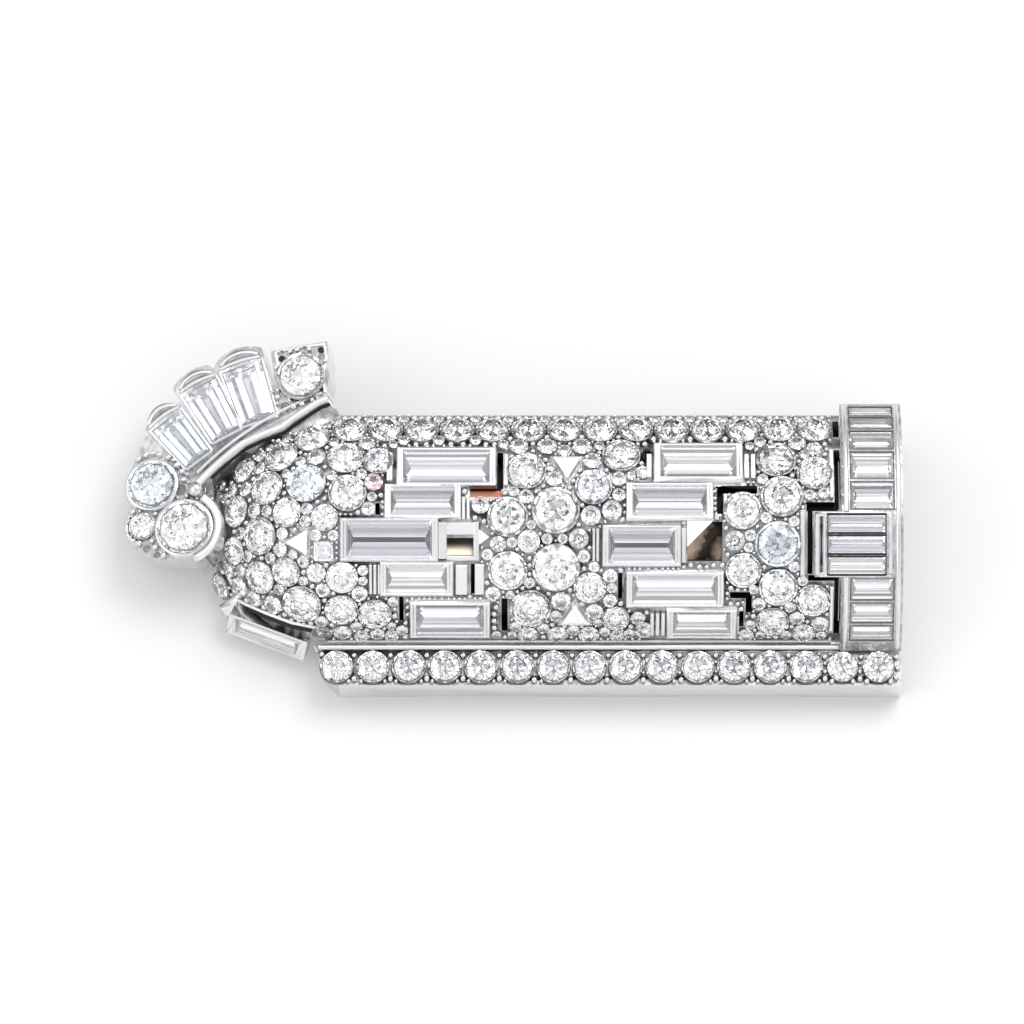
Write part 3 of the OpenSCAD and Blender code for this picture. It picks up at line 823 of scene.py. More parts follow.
def run_group(source, make_group, values):
    """Runs a geometry tree on a mesh and returns the plain mesh that it makes."""
    carrier = new_object("carrier", source)
    group, names = make_group()
    modifier = carrier.modifiers.new(group.name, "NODES")
    modifier.node_group = group
    for label, value in values.items():
        modifier[names[label]] = value
    seen = bpy.context.evaluated_depsgraph_get()
    result = bpy.data.meshes.new_from_object(carrier.evaluated_get(seen))
    bpy.data.objects.remove(carrier)
    bpy.data.meshes.remove(source)
    bpy.data.node_groups.remove(group)
    return result


def set_on_points(places, piece, finish, variation=0.0):
    """Sets a piece at each (point, axis, scale). The piece's mesh has unit size, its foot at z = 0."""
    source = bpy.data.meshes.new("places")
    source.from_pydata([tuple(p[0]) for p in places], [], [])
    for name, column in (("axis", 1), ("size", 2)):
        layer = source.attributes.new(name, "FLOAT_VECTOR", "POINT")
        layer.data.foreach_set("vector", np.array([p[column] for p in places], float).ravel())
    holder = new_object("holder", piece)
    values = {"Piece": holder, "Variation": variation, "Seed": SEED, "Finish": MATERIALS[finish]}
    result = run_group(source, setter_group, values)
    bpy.data.objects.remove(holder)
    bpy.data.meshes.remove(piece)
    return result, MATERIALS[finish]


def wires(paths, r, finish, sides=8):
    """Round wires of a radius in millimetres. A path that ends where it starts is closed."""
    points, edges = [], []
    for path in paths:
        start = len(points)
        closed = np.allclose(path[0], path[-1], rtol=0, atol=1e-9)
        points += [tuple(p) for p in (path[:-1] if closed else path)]
        last = len(points) - 1
        edges += [(i, i + 1) for i in range(start, last)]
        if closed:
            edges.append((last, start))
    source = bpy.data.meshes.new("paths")
    source.from_pydata(points, edges, [])
    values = {"Radius": r * MM, "Sides": sides, "Finish": MATERIALS[finish]}
    return run_group(source, wire_group, values), MATERIALS[finish]


def turned_piece(name, profile, sides, smooth=True, ring=False):
    """A small turned shape from (radius, height) pairs, the foot first. A ring has no caps."""
    points = []
    for r, z in profile:
        points += [tuple(p) for p in circle_of(sides, r, z)] if r > 0 else [(0.0, 0.0, z)]
    rows = sum(r > 0 for r, z in profile)
    top = rows * sides
    faces = tube_faces(rows, sides, ring)
    if not ring:
        faces.append(tuple(reversed(range(sides))))
        if profile[-1][0] > 0:
            faces.append(tuple(range(top - sides, top)))
        else:
            faces += [(top - sides + i, top - sides + (i + 1) % sides, top) for i in range(sides)]
    shape = Shape()
    shape.add(points, faces)
    mesh = shape.mesh(name)
    mesh.polygons.foreach_set("use_smooth", [smooth] * len(mesh.polygons))
    return mesh


def grain_piece():
    """A grain raised beside a stone: an upright bead with a rounded top."""
    return turned_piece("grain", [(1.04, -0.1), (1.0, 0.55), (0.84, 0.80), (0.48, 0.95), (0, 1.0)], 8)


def collar_piece():
    """The thin seat round a stone, which closes the space under its girdle."""
    profile = [(1.03, -1.0), (1.035, -0.1), (1.02, 0.0), (0.985, -0.02), (0.93, -0.35), (0.93, -1.0)]
    return turned_piece("collar", profile, 24, ring=True)


def broad_collar_piece():
    """The polished collar round a stone of the scroll."""
    outer = [(1.13, -1.0), (1.12, -0.25), (1.09, -0.06), (1.04, 0.0)]
    return turned_piece("broad_collar", outer + [(0.985, -0.05), (0.93, -0.4), (0.93, -1.0)], 40, ring=True)


# Where the metal is, and what stands on it


class Ground:
    """The CAD metal under a place, felt along the place's own axis."""

    def __init__(self):
        copy = merged_copy("mount")
        self.tree = BVHTree.FromBMesh(copy)
        copy.free()

    def depth(self, point, axis, above=0.6 * MM, reach=3.0 * MM):
        """How far the metal lies under a point, or None where there is none in reach."""
        start = Vector(point) + Vector(axis) * above
        hit = self.tree.ray_cast(start, -Vector(axis), above + reach)
        return None if hit[0] is None else hit[3] - above


class Patch:
    """Bare metal of one face as a grid of places, with the room round each."""

    def __init__(self, place, along, across, rise, ground, stones, kept_off=()):
        self.rise = rise
        self.points = np.zeros((len(along), len(across), 3))
        self.axes = np.zeros_like(self.points)
        bare = np.zeros(self.points.shape[:2], bool)
        for i, x in enumerate(along):
            for j, y in enumerate(across):
                found = place(x, y)
                if found is None:
                    continue
                self.points[i, j], axes = found
                self.axes[i, j] = axes[:, 2]
                depth = ground.depth(found[0], axes[:, 2])
                bare[i, j] = depth is not None and abs(depth - rise) < 0.05 * MM
        step = along[1] - along[0]
        self.room = self.clear_of_edges(bare, step)
        for stone in stones:
            self.room = np.minimum(self.room, stone.gap(self.points))
        along, across = np.meshgrid(along, across, indexing="ij")
        for x0, x1, y0, y1 in kept_off:
            past_x = np.maximum(x0 * MM - along, along - x1 * MM)
            past_y = np.maximum(y0 * MM - across, across - y1 * MM)
            self.room = np.minimum(self.room, np.maximum(past_x, past_y))
        self.room += np.random.default_rng(SEED).uniform(0, 0.2 * step, self.room.shape)

    @staticmethod
    def clear_of_edges(bare, step, reach=8):
        """Distance of each place from the nearest one that isn't bare, as far as the reach."""
        room = np.where(bare, reach * step, 0.0)
        padded = np.pad(bare, reach)
        rows, columns = bare.shape
        for i in range(-reach, reach + 1):
            for j in range(-reach, reach + 1):
                moved = padded[reach + i:reach + i + rows, reach + j:reach + j + columns]
                room = np.where(moved, room, np.minimum(room, math.hypot(i, j) * step))
        return room - step * 0.9

    def pick(self, least, most, apart=1.0):
        """Takes places one by one where there is most room, each with its foot, axis and room."""
        while True:
            best = np.unravel_index(np.argmax(self.room), self.room.shape)
            r = min(self.room[best], most)
            if r < least:
                return
            point, axis = self.points[best], self.axes[best]
            yield point - axis * self.rise, axis, r
            self.room = np.minimum(self.room, np.linalg.norm(self.points - point, axis=2) - r * apart)


def widen_rounds(stones, ground, widest):
    """Widens each round stone until it nearly meets its neighbours, and no further than the metal lets it."""
    rounds = [s for s in stones if s.round]
    for stone in rounds:
        room = min(stone.cad_r * 0.1, widest)
        for other in rounds:
            if other is not stone:
                between = np.linalg.norm(other.centre - stone.centre) - stone.cad_r - other.cad_r
                room = min(room, (between - 0.03 * MM) / 2)
        while room > 0 and touches_metal(stone, room, ground):
            room -= 0.02 * MM
        stone.r = stone.cad_r + max(room, 0.0)


def touches_metal(stone, room, ground):
    """Whether metal stands as high as the girdle right outside a stone that is wider by the room."""
    for point in stone.place(circle_of(12, stone.cad_r + room + 0.02 * MM, 0.0)):
        depth = ground.depth(point, stone.axis, 0.4 * MM, 1.0 * MM)
        if depth is not None and depth < 0.04 * MM:
            return True
    return False


# Settings


def number(name, description, default, least, most, **kind):
    """A setting that is one number."""
    return bpy.props.FloatProperty(
        name=name, description=description, default=default, min=least, max=most, **kind)


def swatch(name, description, *default):
    """A setting that is a colour."""
    return bpy.props.FloatVectorProperty(name=name, description=description, default=default, subtype="COLOR")


class ClipStones(bpy.types.PropertyGroup):
    table_share: number("Table", "Width of the table as a share of the girdle", 0.54, 0.4, 0.7)
    crown_share: number("Crown", "Height of the crown as a share of half the girdle", 0.32, 0.2, 0.4)
    pavilion_share: number("Pavilion", "Depth of the pavilion as a share of half the girdle", 0.84, 0.6, 0.95)
    culet_share: number("Culet", "Width of the culet as a share of the girdle", 0.07, 0.01, 0.2)
    widening: number("Widening", "Most that a round stone grows on each side, in millimetres", 0.11, 0.0, 0.2)
    tilt: number("Tilt", "Largest lean of a stone in its seat", math.radians(1.6), 0.0, 0.2, subtype="ANGLE")
    lavender: swatch("Lavender", "Body colour of the lavender stones", 0.90, 0.90, 0.98)
    blue: swatch("Blue", "Body colour of the pale blue stones", 0.83, 0.92, 0.985)
    grey: swatch("Grey", "Body colour of the stones of the front rail", 0.79, 0.79, 0.80)
    # Painted glint: one small stone is tinted pink to stand in for a pink flash of fire.
    pink: swatch("Pink", "Body colour of the small stone that flashes pink", 0.95, 0.45, 0.52)


class ClipMetal(bpy.types.PropertyGroup):
    platinum: swatch("Platinum", "Colour of the polished platinum", 0.82, 0.82, 0.83)
    # Bright trim: a lighter copy of the platinum, a painted highlight on bars and wires.
    bright: swatch("Bright trim", "Colour of the bright bars and wires", 0.95, 0.95, 0.95)
    field: swatch("Worked platinum", "Colour of the metal between stones", 0.50, 0.50, 0.51)
    grain: swatch("Grains", "Colour of the grains", 0.80, 0.80, 0.81)
    seat: swatch("Seats", "Colour of the seats round the stones", 0.46, 0.46, 0.47)
    soft: swatch("Fan face", "Colour of the face of the fan", 0.62, 0.62, 0.63)
    gold: swatch("Gold", "Colour of the sprung fitting", 0.80, 0.58, 0.36)
    warm: swatch("Warm gold", "Colour of the gold that shows through the square frame", 0.74, 0.64, 0.52)
    copper: swatch("Copper", "Colour of the strip over the second step cut stone", 0.36, 0.15, 0.09)
    brown: swatch("Brown", "Colour of the shaded gold in the right gap", 0.42, 0.32, 0.26)
    polish: number("Polish", "Roughness of the polished metal", 0.27, 0.02, 0.6)
    edge: number("Edge", "Rounding of the metal's edges, in millimetres", 0.06, 0.0, 0.3)


class ClipGrains(bpy.types.PropertyGroup):
    stone_least: number("Least stone", "Least half width of an added stone, in millimetres", 0.27, 0.2, 1.0)
    stone_most: number("Largest stone", "Largest half width of an added stone, in millimetres", 0.6, 0.2, 1.0)
    grain_least: number("Least grain", "Least half width of a grain, in millimetres", 0.105, 0.04, 0.3)
    grain_most: number("Largest grain", "Largest half width of a grain, in millimetres", 0.19, 0.05, 0.4)
    proud: number("Proud", "Height of a grain over the plate, in millimetres", 0.36, 0.1, 0.6)


class ClipStage(bpy.types.PropertyGroup):
    floor: swatch("Floor", "Colour of the floor", 0.54, 0.54, 0.54)
    light: number("Light", "Strength of the sky of the studio", 0.93, 0.0, 5.0)
    lens: number("Lens", "Focal length of the camera", 300.0, 1.0, 1000.0, unit="CAMERA")
    distance: number("Distance", "Distance of the camera", 0.49, 0.1, 10.0, unit="LENGTH")
    elevation: number("Elevation", "Height angle of the camera", math.radians(72), 0.0, 1.57, subtype="ANGLE")


SETTINGS = {
    "clip_stones": ClipStones,
    "clip_metal": ClipMetal,
    "clip_grains": ClipGrains,
    "clip_stage": ClipStage,
}


# Fluted plates beside the clusters, in millimetres on the face: along from, along to, up from, up to, flutes
FLUTED_PLATES = (
    (-3.20, -2.35, 1.10, 2.42, 3),
    (-8.20, -7.45, -3.20, -1.45, 3),
    (-7.25, -6.75, 3.20, 5.05, 1),
    (7.62, 8.05, 3.40, 4.95, 1),
    (13.22, 13.98, 3.35, 4.95, 2),
    (9.62, 9.98, -1.35, 0.60, 1),
    (7.85, 8.80, -5.70, -4.10, 3),
    (12.85, 13.02, -5.60, -4.30, 1),
    (4.55, 5.00, -1.30, 0.60, 2),
)

# Bright bars and plates: the same four measures, then how far the top stands over the girdles
BRIGHT_BARS = (
    (-4.20, -3.72, -1.15, 0.95, 0.10),
    (-3.72, -2.16, 0.24, 0.95, 0.08),
    (-3.72, -2.16, -1.24, -0.98, 0.08),
    (-2.20, -1.88, -1.24, 0.95, 0.09),
    (-3.22, -2.55, -3.22, -1.45, 0.10),
    (-0.45, -0.22, 2.95, 5.00, 0.02),
    (-1.95, -1.60, 2.95, 3.05, 0.02),
    (16.45, 16.72, -2.10, 1.65, 0.04),
    (18.14, 18.36, 2.20, 5.30, 0.04),
    (18.14, 18.36, -5.50, -2.55, 0.04),
    (12.10, 12.30, 1.50, 2.60, 0.02),
    (-2.13, -1.57, -3.25, -1.42, 0.02),
    (17.30, 17.54, -2.02, 1.44, 0.58),
    (17.70, 17.90, -1.94, 1.36, 0.54),
    (17.54, 21.66, 1.34, 1.48, 0.56),
    (17.54, 21.66, -2.06, -1.92, 0.56),
    (21.48, 21.68, -1.92, 1.34, 0.56),
)

# Short near-black bars laid on the metal, painted shade that stands in for cuts, by the same measures
DARK_BARS = (
    (14.25, 14.72, 4.98, 5.14, 0.04),
    (14.58, 14.72, 4.52, 5.14, 0.04),
    (7.48, 7.92, 5.00, 5.14, 0.04),
    (7.48, 7.60, 4.50, 5.14, 0.04),
    (17.58, 17.66, -1.90, 1.32, 0.56),
)

# Corners of the white plate in the right gap, and of the white point beside the square frame, which glow
# faintly white: painted light.
WHITE_PLATE = ((10.00, 1.02), (11.45, 1.02), (10.00, -0.45))
WHITE_POINT = ((-1.90, 0.55), (-1.90, -0.35), (-1.30, 0.10))
WHITE_POINT_BOX = (-1.9, -1.3, -0.4, 0.6)

# Sheets that show through the gaps: along from, along to, up from, up to, radius at each, finish. The black
# sheets are painted shade under the gaps.
LININGS = (
    (-2.60, -0.62, 2.36, 2.86, 7.84, 7.80, "copper"),
    (-3.85, -1.70, -1.05, 0.15, 7.88, 7.15, "warm"),
    (9.85, 12.15, -1.40, 1.10, 7.5, 7.3, "brown"),
    (-1.0, 0.2, 2.5, 5.4, 6.85, 6.85, "black"),
    (-2.9, 0.2, -5.6, -1.3, 6.85, 6.85, "black"),
    (-8.0, -5.9, -5.0, 2.4, 6.85, 6.85, "black"),
    (5.8, 6.6, -3.8, -1.8, 6.85, 6.85, "black"),
    (11.4, 14.2, 1.3, 3.5, 6.85, 6.85, "black"),
    (12.2, 14.0, -5.4, -3.0, 6.85, 6.85, "black"),
    (16.5, 18.7, -5.8, 5.6, 6.85, 6.85, "black"),
)

# Straight wires behind the rail (along from, along to, y, z) and along the foot (along from, along to, up)
RAIL_WIRE = (-11.1, 18.7, -7.71, 2.66)
FOOT_WIRE = (-10.6, 18.3, -5.93)

# Wires along the end band: along, and the angles up the barrel from and to, in millimetres and degrees
BAND_WIRES = ((19.05, -46, -14.5), (19.05, 10.5, 62), (22.03, -46, 62), (22.22, -46, 62))

# Inner rim of the fan, its kink (place, half its length, depth) and its curl (centre, radius, angles)
RIM_POINTS = ((-10.5, 6.2), (-14.5, 4.35), (-17.95, 1.5))
RIM_INNER = ((-10.9, 6.75), (-14.75, 4.95), (-18.1, 2.3))
RIM_KINK = (-13.2, 2.2, 0.5)
SCROLL_CURL = (-18.75, -1.05, 2.05, -66, 56)

# Bud and dark discs of the fan (painted shade that stands in for piercings), rims round its end block, arcs
# over each leaf (gap, bow), outer lobes (angles)
BUD = (-18.1, 1.2)
DARK_DISCS = ((-13.25, 8.95), (-11.00, 9.35), (-10.95, 6.90), (-12.62, 6.55))
BLOCK_RIM = ((-13.62, 9.36), (-12.40, 9.56), (-10.80, 9.70), (-10.70, 8.90), (-10.90, 7.60), (-10.76, 6.75))
BLOCK_SIDE = ((-13.62, 9.36), (-13.45, 8.30), (-13.05, 7.30), (-12.75, 6.30))
LEAF_STEPS = ((0.30, 0.14), (0.52, 0.26), (0.78, 0.42), (0.96, 0.52))
LOBES = (("scroll_round_2", 70, 235), ("scroll_round_3", 175, 300), ("scroll_round_4", 120, 250))

# Rim along the lower edge of the dome, on the face
DOME_RIM = ((-10.3, -5.32), (-11.1, -5.12), (-12.6, -4.82), (-14.1, -4.28), (-15.3, -3.78), (-16.3, -3.30))


def arc_through(points, count):
    """Points along the circle through three points."""
    a, b, c = (np.array(p, float) for p in points)
    turn = 2 * (a[0] * (b[1] - c[1]) + b[0] * (c[1] - a[1]) + c[0] * (a[1] - b[1]))
    middle = np.array([
        (a @ a * (b[1] - c[1]) + b @ b * (c[1] - a[1]) + c @ c * (a[1] - b[1])) / turn,
        (a @ a * (c[0] - b[0]) + b @ b * (a[0] - c[0]) + c @ c * (b[0] - a[0])) / turn,
    ])
    r = np.linalg.norm(a - middle)
    first, last = (math.atan2(*(p - middle)[::-1]) for p in (a, c))
    if last - first > math.pi:
        last -= 2 * math.pi
    if first - last > math.pi:
        last += 2 * math.pi
    return [middle + r * np.array([math.cos(t), math.sin(t)]) for t in np.linspace(first, last, count)]


# Operators


def all_stones():
    """Every stone of the clip, by its node."""
    return {name: find_stones(name) for name in FIELDS + LONE_ROUNDS + STEP_STONES}


class CLIP_OT_finishes(bpy.types.Operator):
    """Makes the clip's finishes: polished, bright and worked platinum, gold and the stones"""

    bl_idname = "clip.finishes"
    bl_label = "Make Finishes"

    def execute(self, context):
        metal, stones = context.scene.clip_metal, context.scene.clip_stones
        for key, name, make, *values in (
            ("polished", "polished_platinum", polished_metal, metal.platinum, metal.polish, metal.edge),
            # The bright trim is a lighter and rougher copy of the platinum, so that bars and wires read white
            # as highlights: painted highlight.
            ("bright", "bright_platinum", polished_metal, metal.bright, 0.42, 0.03),
            ("foil", "white_seat", white_seat, metal.bright),
            ("soft", "soft_platinum", worked_metal, metal.soft, 0.32),
            # shade and black are painted shade: near-black metal put where shade falls
            ("shade", "shaded_platinum", blackened_metal, 0.2),
            ("grain", "grain_platinum", polished_metal, metal.grain, 0.3, 0.03, 0.4),
            ("seat", "seat_platinum", polished_metal, metal.seat, 0.26, 0.02, 0.5),
            ("black", "blackened_metal", blackened_metal, 0.03),
            ("worked", "worked_platinum", worked_metal, metal.field, 0.3),
            ("gold", "satin_gold", polished_metal, metal.gold, 0.3, 0.08, 0.6),
            ("warm", "warm_gold", polished_metal, metal.warm, 0.4, 0.08, 0.6),
            ("copper", "copper_gold", polished_metal, metal.copper, 0.4, 0.04, 0.6),
            ("brown", "shaded_gold", shaded_gold, metal.brown),
        ):
            MATERIALS[key] = make(name, *values)
        # The step cuts glow faintly: painted light that lifts them.
        for kind, pale, patch, rough, painted_glow in (
            ("round", (0.985, 0.985, 0.99), 0.35, 0.03, 0.0),
            ("step", (0.975, 0.975, 0.985), 0.2, 0.06, 0.025),
        ):
            tinted = tuple(c * 0.97 for c in pale)
            MATERIALS[kind] = cut_stone(f"{kind}_stone", pale, tinted, patch, rough, painted_glow)
            for tint in ("lavender", "blue", "pink", "grey"):
                colour = tuple(getattr(stones, tint))
                paler = tuple(0.5 + c * 0.5 for c in colour)
                key = f"{kind}_{tint}"
                MATERIALS[key] = cut_stone(f"{key}_stone", paler, colour, 0.8, rough, painted_glow)
        return {"FINISHED"}


class CLIP_OT_metalwork(bpy.types.Operator):
    """Polishes a closed copy of the soldered metal, with the faces between the stones worked"""

    bl_idname = "clip.metalwork"
    bl_label = "Dress Metalwork"

    def execute(self, context):
        copy = merged_copy("mount")
        fan_start, fan_axes = fan_place(FAN_X, 0.0)
        for face in copy.faces:
            mid = np.array(face.calc_center_median()[:])
            normal = np.array(face.normal[:])
            finish = self.finish_of(mid, normal, fan_start, fan_axes[:, 2])
            face.material_index = MOUNT_FINISHES.index(finish)
            face.smooth = True
        mesh = bpy.data.meshes.new("platinum_mount")
        copy.to_mesh(mesh)
        copy.free()
        for name in MOUNT_FINISHES:
            mesh.materials.append(MATERIALS[name])
        mesh.set_sharp_from_angle(angle=math.radians(28))
        piece = new_object("platinum_mount", mesh)
        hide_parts("mount")
        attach(piece, "root")
        return {"FINISHED"}

    def finish_of(self, mid, normal, fan_start, fan_axis):
        """Worked where a face lies between stones, black on the walls of the gaps as painted shade, and
        polished elsewhere.
        """
        offset = mid - np.array([DOME_X, 0.0, AXIS_Z])
        offset[0] = min(0.0, offset[0])
        r = np.linalg.norm(offset)
        outward = normal @ offset / r
        x, y, z = mid
        on_plaque = x < BAND_START
        if on_plaque and abs(r - PLATE_R) < 0.06 * MM and outward > 0.9:
            return "worked"
        if abs((mid - fan_start) @ fan_axis) < 0.02 * MM and normal @ fan_axis > 0.99:
            return "soft"
        if y < RAIL_BACK and normal[2] > 0.98 and abs(z - RAIL_TOP) < 0.02 * MM:
            return "worked"
        # The rail's front wall takes the bright trim, lighter than the rest: painted light.
        if y < RAIL_FRONT and normal[1] < -0.9:
            return "bright"
        if abs(r - BAND_FACE_R) < 0.08 * MM and outward > 0.9 and not on_plaque:
            return "soft"
        line_x, line_y, slope = RIBBON_LINE
        under_ribbon = WALL_LEAST_Y < y < line_y + (x - line_x) * slope and WALL_ENDS[0] < x < WALL_ENDS[1]
        if under_ribbon and z > WALL_LOW and normal[1] < -0.4 and abs(normal[2]) < 0.5:
            return "soft"
        in_gap = PLATE_R - GAP_DEPTH < r < PLATE_R + 0.02 * MM and z > GAP_LOW
        # Painted shade: the walls of the gaps are near black.
        if on_plaque and in_gap and abs(outward) < 0.5:
            return "black"
        return "polished"


class CLIP_OT_fitting(bpy.types.Operator):
    """Gives the sprung fitting under the plaque its satin gold"""

    bl_idname = "clip.fitting"
    bl_label = "Dress Fitting"

    def execute(self, context):
        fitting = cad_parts["clip_fitting"]
        fitting.data.materials.clear()
        fitting.data.materials.append(MATERIALS["gold"])
        return {"FINISHED"}


class CLIP_OT_round_stones(bpy.types.Operator):
    """Cuts the round stones in their collars, and fills the bare spots with small stones and grains"""

    bl_idname = "clip.round_stones"
    bl_label = "Set Round Stones"

    def execute(self, context):
        cut, settings = context.scene.clip_stones, context.scene.clip_grains
        stones = all_stones()
        everything = [s for group in stones.values() for s in group]
        ground = Ground()
        widen_rounds(everything, ground, cut.widening * MM)
        rng = np.random.default_rng(SEED)
        for node in LONE_ROUNDS + FIELDS:
            self.set_node(node, stones[node], ground, cut, rng)
        self.fill_face(ground, everything, settings)
        self.fill_rail(ground, everything, settings)
        self.fill_scroll(ground, everything, settings)
        return {"FINISHED"}

    def set_node(self, node, group, ground, cut, rng):
        """Cuts the stones of one node, with a collar or a closed seat for each."""
        shapes, collars, seats = {}, [], Shape()
        for stone in group:
            add_cut(shapes.setdefault(stone.tint(), Shape()), stone, cut, rng)
            if stone.round:
                depth = ground.depth(stone.place([[stone.r + 0.02 * MM, 0, 0]])[0], stone.axis)
                if depth is None or depth > DEEPEST_COLLAR:
                    depth = FREE_COLLAR
                collars.append((stone.centre - stone.axis * 0.03 * MM, stone.axis, (stone.r, stone.r, depth)))
            elif len(stone.corners) == 3:
                self.closed_seat(seats, stone)
        parts = [shape.part(finish) for finish, shape in shapes.items()]
        if collars and node in BROAD_COLLARS:
            parts.append(set_on_points(collars, broad_collar_piece(), "polished"))
        elif collars:
            # The collars of the rail stones take the near-black shade: painted shade between the stones.
            parts.append(set_on_points(collars, collar_piece(), "shade" if node == "rail_stones" else "seat"))
        if seats.faces:
            parts.append(seats.part("foil"))
        finished_piece(f"set_{node}", parts, "diamond", node)

    def closed_seat(self, shape, stone):
        """A bright block right under a triangular stone, which glows faintly: painted light."""
        n = len(stone.corners)
        rings = [np.column_stack([stone.corners * SEAT_SHARE, np.full(n, z)]) for z in SEAT_LEVELS]
        shape.add_convex(stone.place(np.vstack(rings)), closed_faces(2, n))

    def fill_face(self, ground, stones, settings):
        """Small stones and grains on the bare metal of the barrel and its dome."""

        def place(x, up):
            if x < DOME_X and math.hypot(x - DOME_X, up) > DOME_FILL_R:
                return None
            return None if self.past_rim(x, up) else face_place(x, up, -0.05 * MM)

        trims = [row[:4] for row in FLUTED_PLATES + BRIGHT_BARS + DARK_BARS] + [WHITE_POINT_BOX]
        patch = Patch(place, np.arange(-17.6, 18.36, 0.1) * MM, np.arange(-6.0, 7.2, 0.1) * MM,
                      0.15 * MM, ground, stones, trims)
        shapes = {"round": Shape(), "round_pink": Shape()}
        pink = on_face([PINK_FLASH_PLACE])[0]
        rng = np.random.default_rng(SEED + 2)
        for foot, axis, room in patch.pick(settings.stone_least * MM, settings.stone_most * MM):
            r = room * 0.97
            lift = 0.10 * MM + 0.55 * r
            points, faces = single_cut(r, lift - GIRDLE - 0.02 * MM)
            side = np.cross(axis, [0.0, 1.0, 0.0])
            side /= np.linalg.norm(side)
            turn = np.array(Matrix.Rotation(rng.uniform(0, math.pi), 3, "Z"))
            axes = np.column_stack([side, np.cross(axis, side), axis]) @ turn
            # The stone at the pink place takes the pink tint, a painted glint of fire.
            kind = "round_pink" if np.linalg.norm(foot - pink) < PINK_FLASH_REACH else "round"
            shapes[kind].add_convex(foot + axis * lift + points @ axes.T, faces)
        parts = [shape.part(kind) for kind, shape in shapes.items() if shape.faces]
        finished_piece("small_stones", parts, "diamond")
        least, most = settings.grain_least * MM, settings.grain_most * MM
        self.grains("field_grains", patch, least, most, settings.proud * MM)

    def past_rim(self, x, up):
        """Whether a place is outside the rim along the lower edge of the dome."""
        for (x1, up1), (x0, up0) in zip(DOME_RIM, DOME_RIM[1:]):
            if x0 * MM <= x <= x1 * MM:
                share = (x / MM - x0) / (x1 - x0)
                return up < (up0 + (up1 - up0) * share) * MM
        return False

    def fill_rail(self, ground, stones, settings):
        """Grains on the top of the front rail."""

        def place(x, y):
            return np.array([x, y, RAIL_TOP + 0.3 * MM]), np.eye(3)

        patch = Patch(place, np.arange(-11.2, 22.3, 0.08) * MM, np.arange(-9.84, -7.8, 0.08) * MM,
                      0.3 * MM, ground, [s for s in stones if s.node == "rail_stones"])
        self.grains("rail_grains", patch, RAIL_GRAIN_LEAST, settings.grain_most * MM, RAIL_GRAIN_HEIGHT)

    def fill_scroll(self, ground, stones, settings):
        """Grains close round the stones of the scroll."""
        scroll = [s for s in stones if s.node.startswith("scroll")]

        def place(x, y):
            point, axes = fan_place(x, y, 0.2 * MM)
            close = min(np.linalg.norm(point - s.centre) - s.cad_r for s in scroll)
            return (point, axes) if close < 0.95 * MM else None

        for stone in scroll:
            stone.r *= 1.14 if stone.node in BROAD_COLLARS else 1.03
        dark_disc_spots = [(x - 0.35, x + 0.35, y - 0.35, y + 0.35) for x, y in DARK_DISCS]
        patch = Patch(place, np.arange(-22.25, -10.5, 0.1) * MM, np.arange(-3.2, 9.85, 0.1) * MM,
                      0.2 * MM, ground, stones, dark_disc_spots)
        least, most = settings.grain_least * MM, settings.grain_most * MM
        self.grains("scroll_grains", patch, least, most, SCROLL_GRAIN_HEIGHT)

    def grains(self, name, patch, least, most, height):
        """Sets grains wherever a patch still has room."""
        found = []
        for foot, axis, room in patch.pick(least, most, 1.25):
            found.append((foot, axis, (room * 0.93, room * 0.93, height)))
        finished_piece(name, [set_on_points(found, grain_piece(), "grain", 0.04)], "platinum")


class CLIP_OT_step_stones(bpy.types.Operator):
    """Cuts the step cut stones of the clusters, the band, the fan and the corner bar"""

    bl_idname = "clip.step_stones"
    bl_label = "Cut Step Stones"

    def execute(self, context):
        cut = context.scene.clip_stones
        rng = np.random.default_rng(SEED + 1)
        for node in STEP_STONES:
            shape = Shape()
            stone = one_stone(node)
            add_cut(shape, stone, cut, rng)
            parts = [shape.part(stone.tint())]
            if node in DARK_KEELS:
                parts.append(self.keel_shade(stone, min(shape.points, key=lambda p: p[2])))
            finished_piece(f"cut_{node}", parts, "diamond", node)
        return {"FINISHED"}

    def keel_shade(self, stone, lowest):
        """A dark strip right under the keel, which shows through the table as a dark line."""
        half_length, half_width = stone.half
        depth = (np.array(lowest) - stone.centre) @ stone.axis
        sizes = (2 * half_length - 0.7 * half_width, 2 * half_width * 0.18, 0.1 * MM, 0.01 * MM)
        shade = Shape()
        add_by_stone(shade, stone, sizes, (0, 0, depth - 0.13 * MM))
        return shade.part("black")


